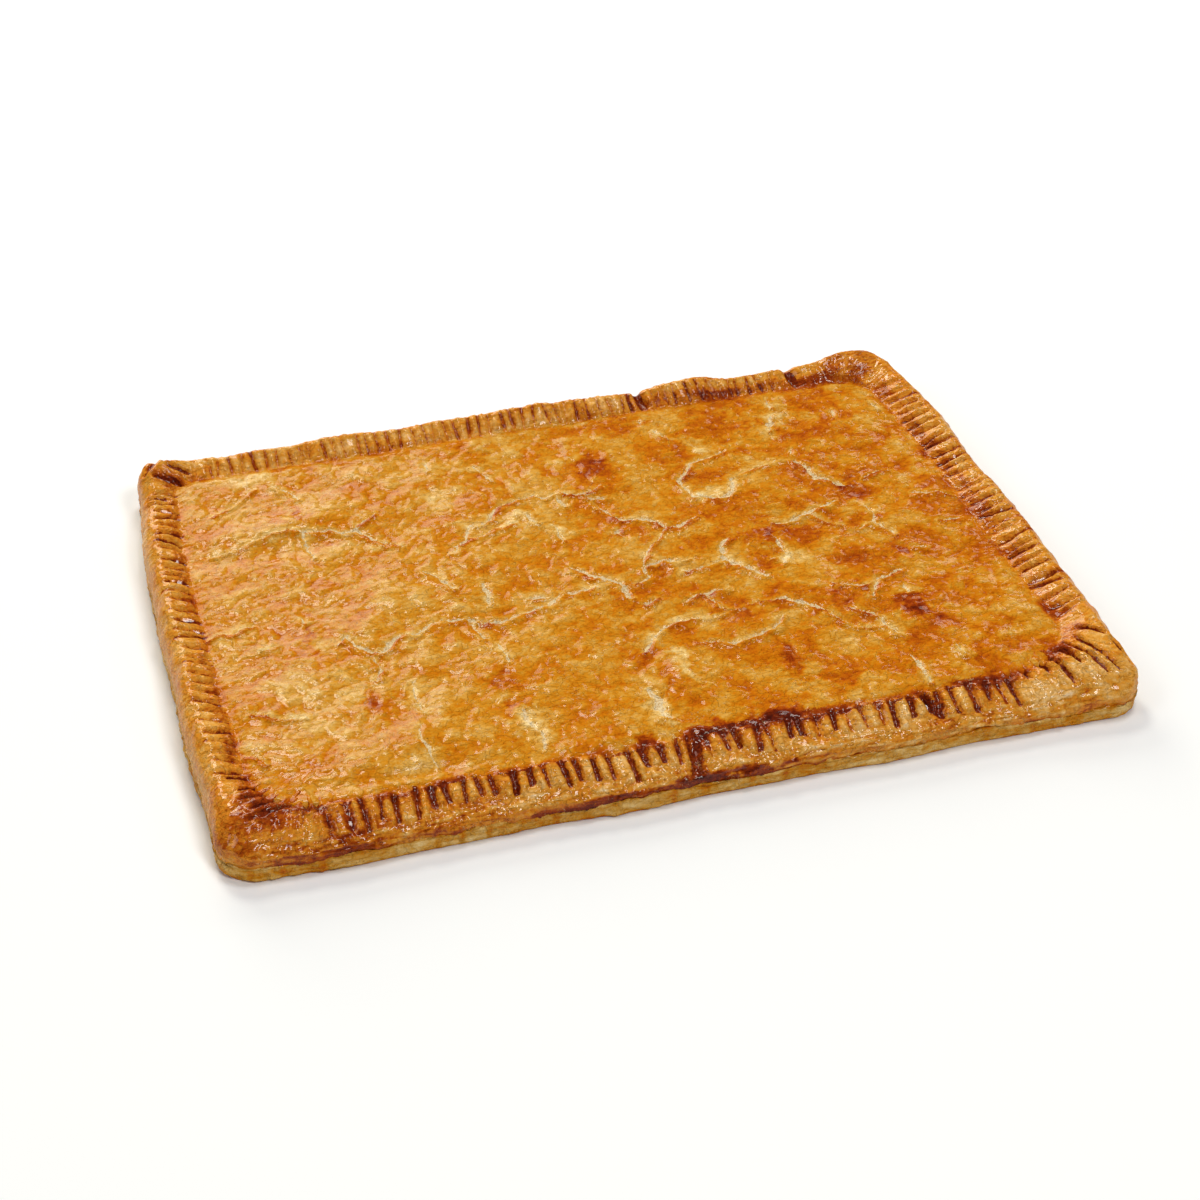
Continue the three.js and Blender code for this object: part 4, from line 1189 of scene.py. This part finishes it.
class Graph:
    """Short calls for building a material's nodes."""

    def __init__(self, material):
        material.use_nodes = True
        self.tree = material.node_tree
        self.tree.nodes.clear()

    def add(self, kind, **settings):
        node = self.tree.nodes.new(kind)
        for name, value in settings.items():
            setattr(node, name, value)
        return node

    def link(self, source, target):
        self.tree.links.new(source, target)

    def set(self, socket, value):
        if isinstance(value, bpy.types.NodeSocket):
            self.link(value, socket)
        else:
            socket.default_value = value

    def math(self, operation, a, b=0.0, clamp=False):
        node = self.add("ShaderNodeMath", operation=operation, use_clamp=clamp)
        self.set(node.inputs[0], a)
        self.set(node.inputs[1], b)
        return node.outputs[0]

    def plus(self, a, b, share, clamp=False):
        """A value with a share of another added."""
        return self.math("ADD", a, self.math("MULTIPLY", b, share), clamp)

    def remap(self, value, low, high, to_low=0.0, to_high=1.0):
        node = self.add("ShaderNodeMapRange", interpolation_type="SMOOTHSTEP")
        for socket, given in zip(node.inputs, (value, low, high, to_low, to_high)):
            self.set(socket, given)
        return node.outputs[0]

    def mix(self, factor, a, b):
        node = self.add("ShaderNodeMix", data_type="RGBA")
        self.set(node.inputs[0], factor)
        self.set(node.inputs[6], a)
        self.set(node.inputs[7], b)
        return node.outputs[2]

    def shader(self):
        """Shader of the material, joined to its output."""
        shader = self.add("ShaderNodeBsdfPrincipled")
        output = self.add("ShaderNodeOutputMaterial")
        self.link(shader.outputs[0], output.inputs[0])
        return shader

    def stretched(self, where, share, turn=0.0):
        """Places scaled along x and turned in plan, for a noise with long bumps."""
        node = self.add("ShaderNodeMapping")
        node.inputs["Scale"].default_value = (share, 1.0, 1.0)
        node.inputs["Rotation"].default_value = (0.0, 0.0, math.radians(turn))
        self.link(where, node.inputs["Vector"])
        return node.outputs[0]

    def field(self, name):
        return self.add("ShaderNodeAttribute", attribute_name=name).outputs["Fac"]

    def noise(self, name, where):
        """Named noise of the crust, from about -0.5 to 0.5."""
        size_mm, detail, roughness, distortion = CRUST_NOISE[name]
        node = self.add("ShaderNodeTexNoise")
        self.link(where, node.inputs["Vector"])
        node.inputs["Scale"].default_value = 1.0 / (size_mm * MM)
        node.inputs["Detail"].default_value = detail
        node.inputs["Roughness"].default_value = roughness
        node.inputs["Distortion"].default_value = distortion
        return self.math("SUBTRACT", node.outputs["Fac"], 0.5)

    def specks(self, where, spacing_mm, largest):
        """One where a small round speck lies, zero elsewhere; few of the cells have one."""
        node = self.add("ShaderNodeTexVoronoi")
        self.link(where, node.inputs["Vector"])
        node.inputs["Scale"].default_value = 1.0 / (spacing_mm * MM)
        chosen = self.add("ShaderNodeSeparateColor")
        self.link(node.outputs["Color"], chosen.inputs[0])
        size = self.remap(chosen.outputs[0], 0.6, 1.0, 0.0, largest)
        inside = self.math("SUBTRACT", size, node.outputs["Distance"])
        return self.remap(inside, 0.0, 0.06)


def crust_material():
    material = bpy.data.materials.new("crust")
    g = Graph(material)
    shader = g.shader()
    where = g.add("ShaderNodeTexCoord").outputs["Object"]
    streaked = g.stretched(where, STROKE_STRETCH, -CREASE_TURN)

    mottle = g.noise("mottle", where)
    blotch = g.remap(mottle, -0.03, 0.07, -0.5, 0.5)
    small_mottle = g.noise("small_mottle", where)
    small_blotch = g.remap(small_mottle, -0.04, 0.10, -0.5, 0.5)
    strokes = g.remap(g.noise("strokes", streaked), 0.015, 0.06)
    fine_strokes = g.remap(g.noise("fine_strokes", streaked), 0.03, 0.08)
    grain = g.noise("grain", where)
    valley = g.field("valley")
    tone = g.plus(g.field("brown"), mottle, 0.10)
    # The strokes and fine strokes make the colour a little browner along short dents of the wrinkles: painted
    # shade where those slopes miss the sheen. The blotches are uneven browning.
    for part in (blotch, small_blotch, strokes, fine_strokes):
        tone = g.plus(tone, part, 0.03)
    tone = g.plus(tone, grain, 0.20)
    edge = g.field("edge")
    flaky = g.math("MULTIPLY", edge, g.noise("layers", g.stretched(where, LAYER_STRETCH)))
    tone = g.plus(tone, flaky, LAYER_TONE)
    ragged_mark = g.plus(g.field("mark_inside"), small_mottle, MARK_RAGGED)
    marked = g.remap(ragged_mark, -0.15, 0.2)
    tone = g.plus(tone, marked, g.field("mark_stain"))
    ramp = g.add("ShaderNodeValToRGB")
    while len(ramp.color_ramp.elements) < len(BROWNING):
        ramp.color_ramp.elements.new(0.5)
    for element, (position, colour) in zip(ramp.color_ramp.elements, BROWNING):
        element.position = position
        element.color = linear(colour)
    g.link(tone, ramp.inputs[0])

    baked = g.math("MULTIPLY", edge, g.remap(tone, 0.45, 0.68, 0.32, 0.0))
    colour = g.mix(baked, ramp.outputs[0], linear(RIM_COLOUR))
    specks = g.math("MULTIPLY", g.specks(where, SPECK_SPACING, SPECK_SIZE), SPECK_SHARE)
    colour = g.mix(specks, colour, linear(SPECK_COLOUR))
    flour = g.remap(g.noise("flour", where), 0.06, 0.16)
    flour = g.math("MULTIPLY", flour, g.remap(mottle, 0.02, -0.12))
    colour = g.mix(g.math("MULTIPLY", flour, FLOUR_SHARE), colour, linear(FLOUR_COLOUR))
    away = g.math("ABSOLUTE", g.field("crack_aside"))
    inside = g.math("SUBTRACT", g.field("crack_opened"), away)
    inside = g.plus(inside, grain, 2.2)
    inside = g.plus(inside, small_mottle, 1.8)
    open_crack = g.remap(inside, -0.08, 0.16)
    crumb = g.mix(g.remap(grain, -0.14, 0.06), linear(CRACK_SHADE), linear(CRACK_COLOUR))
    colour = g.mix(open_crack, colour, crumb)
    g.link(colour, shader.inputs["Base Color"])

    wash = g.noise("wash", where)
    roughness = g.remap(wash, -0.2, 0.2, *ROUGHNESS)
    roughness = g.plus(roughness, valley, -0.08)
    roughness = g.plus(roughness, open_crack, 0.4, clamp=True)
    g.link(roughness, shader.inputs["Roughness"])
    shader.inputs["Specular IOR Level"].default_value = 0.0
    coat = g.remap(wash, -0.2, 0.2, *COAT)
    coat = g.math("MULTIPLY", coat, g.plus(1.0, strokes, -0.3))
    coat = g.plus(coat, valley, VALLEY_COAT)
    coat = g.plus(coat, edge, EDGE_COAT)
    coat = g.math("MULTIPLY", coat, g.plus(1.0, open_crack, -0.85), clamp=True)
    g.link(coat, shader.inputs["Coat Weight"])
    shader.inputs["Coat Roughness"].default_value = COAT_ROUGHNESS

    bump = g.add("ShaderNodeBump")
    bump.inputs["Strength"].default_value = 1.0
    bump.inputs["Distance"].default_value = BUMP_DEPTH * MM
    small_pits = g.math("MULTIPLY", g.noise("small_pits", where), SMALL_PIT_SHARE)
    pits = g.math("ADD", g.noise("pits", where), small_pits)
    crinkle = g.math("ABSOLUTE", g.noise("crinkle", streaked))
    crinkle = g.remap(crinkle, 0.0, 0.045, CRINKLE_SHARE, 0.0)
    pits = g.math("ADD", pits, crinkle)
    pits = g.math("MULTIPLY", pits, g.plus(1.0, edge, EDGE_PITS))
    pits = g.plus(pits, flaky, LAYER_BUMP)
    pits = g.plus(pits, marked, -MARK_BUMP)
    pits = g.plus(pits, strokes, -STROKE_BUMP)
    g.link(pits, bump.inputs["Height"])
    g.link(bump.outputs[0], shader.inputs["Normal"])
    return material


# Stage, light and camera

CAMERA_TARGET = Vector((-0.4, 2.85, 0.0)) * MM
CAMERA_DISTANCE = 1125 * MM
CAMERA_AZIMUTH = -16.74
CAMERA_ELEVATION = 35.07
CAMERA_FOCUS_PX = 2456.0
PHOTO_PX = 1200.0
WARM = (1.0, 0.96, 0.82)
SOFT = (1.0, 0.975, 0.93)
FLOOR_REACH = 20.0
FLOOR_COLOUR = (0.93, 0.955, 0.998, 1.0)
WORLD_STRENGTH = 0.09
SENSOR_WIDTH = 36.0

# Lights: name, place, width, height, power, colour
LIGHTS = (
    ("back_panel", (-0.5, 3.4, 1.45), 2.2, 2.0, 78.0, WARM),
    ("back_spot", (-0.2, 2.4, 2.9), 0.8, 0.8, 36.0, WARM),
    ("right_strip", (1.9, 2.9, 1.9), 0.6, 0.6, 7.0, WARM),
    ("top_softbox", (0.7, 0.4, 4.0), 1.0, 1.0, 45.0, SOFT),
    ("front_fill", (0.9, -2.0, 2.7), 0.7, 0.7, 41.0, SOFT),
    ("left_fill", (-2.6, -0.3, 2.4), 1.2, 1.2, 17.0, SOFT),
)


def make_floor():
    mesh = bpy.data.meshes.new("floor")
    signs = ((-1, -1), (1, -1), (1, 1), (-1, 1))
    corners = [(x * FLOOR_REACH, y * FLOOR_REACH, 0) for x, y in signs]
    mesh.from_pydata(corners, [], [(0, 1, 2, 3)])
    floor = add_object("floor", mesh)
    material = bpy.data.materials.new("floor")
    g = Graph(material)
    shader = g.shader()
    shader.inputs["Base Color"].default_value = FLOOR_COLOUR
    shader.inputs["Roughness"].default_value = 0.9
    shader.inputs["Specular IOR Level"].default_value = 0.1
    mesh.materials.append(material)


def make_light(name, place, width, height, power, colour):
    """Area light that faces the middle of the floor."""
    light = bpy.data.lights.new(name, "AREA")
    light.shape = "RECTANGLE"
    light.size = width
    light.size_y = height
    light.energy = power
    light.color = colour
    lamp = add_object(name, light)
    lamp.location = place
    lamp.rotation_euler = Vector(place).to_track_quat("Z", "Y").to_euler()


def make_world():
    world = bpy.data.worlds.new("studio")
    world.use_nodes = True
    background = world.node_tree.nodes["Background"]
    background.inputs["Color"].default_value = (1.0, 1.0, 1.0, 1.0)
    background.inputs["Strength"].default_value = WORLD_STRENGTH
    bpy.context.scene.world = world


def make_camera():
    azimuth = math.radians(CAMERA_AZIMUTH)
    elevation = math.radians(CAMERA_ELEVATION)
    back = Vector((
        math.sin(azimuth) * math.cos(elevation),
        -math.cos(azimuth) * math.cos(elevation),
        math.sin(elevation),
    ))
    data = bpy.data.cameras.new("camera")
    data.sensor_width = SENSOR_WIDTH
    data.lens = SENSOR_WIDTH * CAMERA_FOCUS_PX / PHOTO_PX
    data.clip_start = 0.05
    data.clip_end = 50.0
    camera = add_object("camera", data)
    camera.location = CAMERA_TARGET + back * CAMERA_DISTANCE
    camera.rotation_euler = back.to_track_quat("Z", "Y").to_euler()
    bpy.context.scene.camera = camera


walk = Walk()
crust = crust_material()
for piece in (make_lower_crust(walk), make_folded_edge(walk), make_lid()):
    piece.data.materials.append(crust)

make_floor()
make_world()
for light in LIGHTS:
    make_light(*light)
make_camera()
bpy.context.scene.view_settings.view_transform = "Standard"
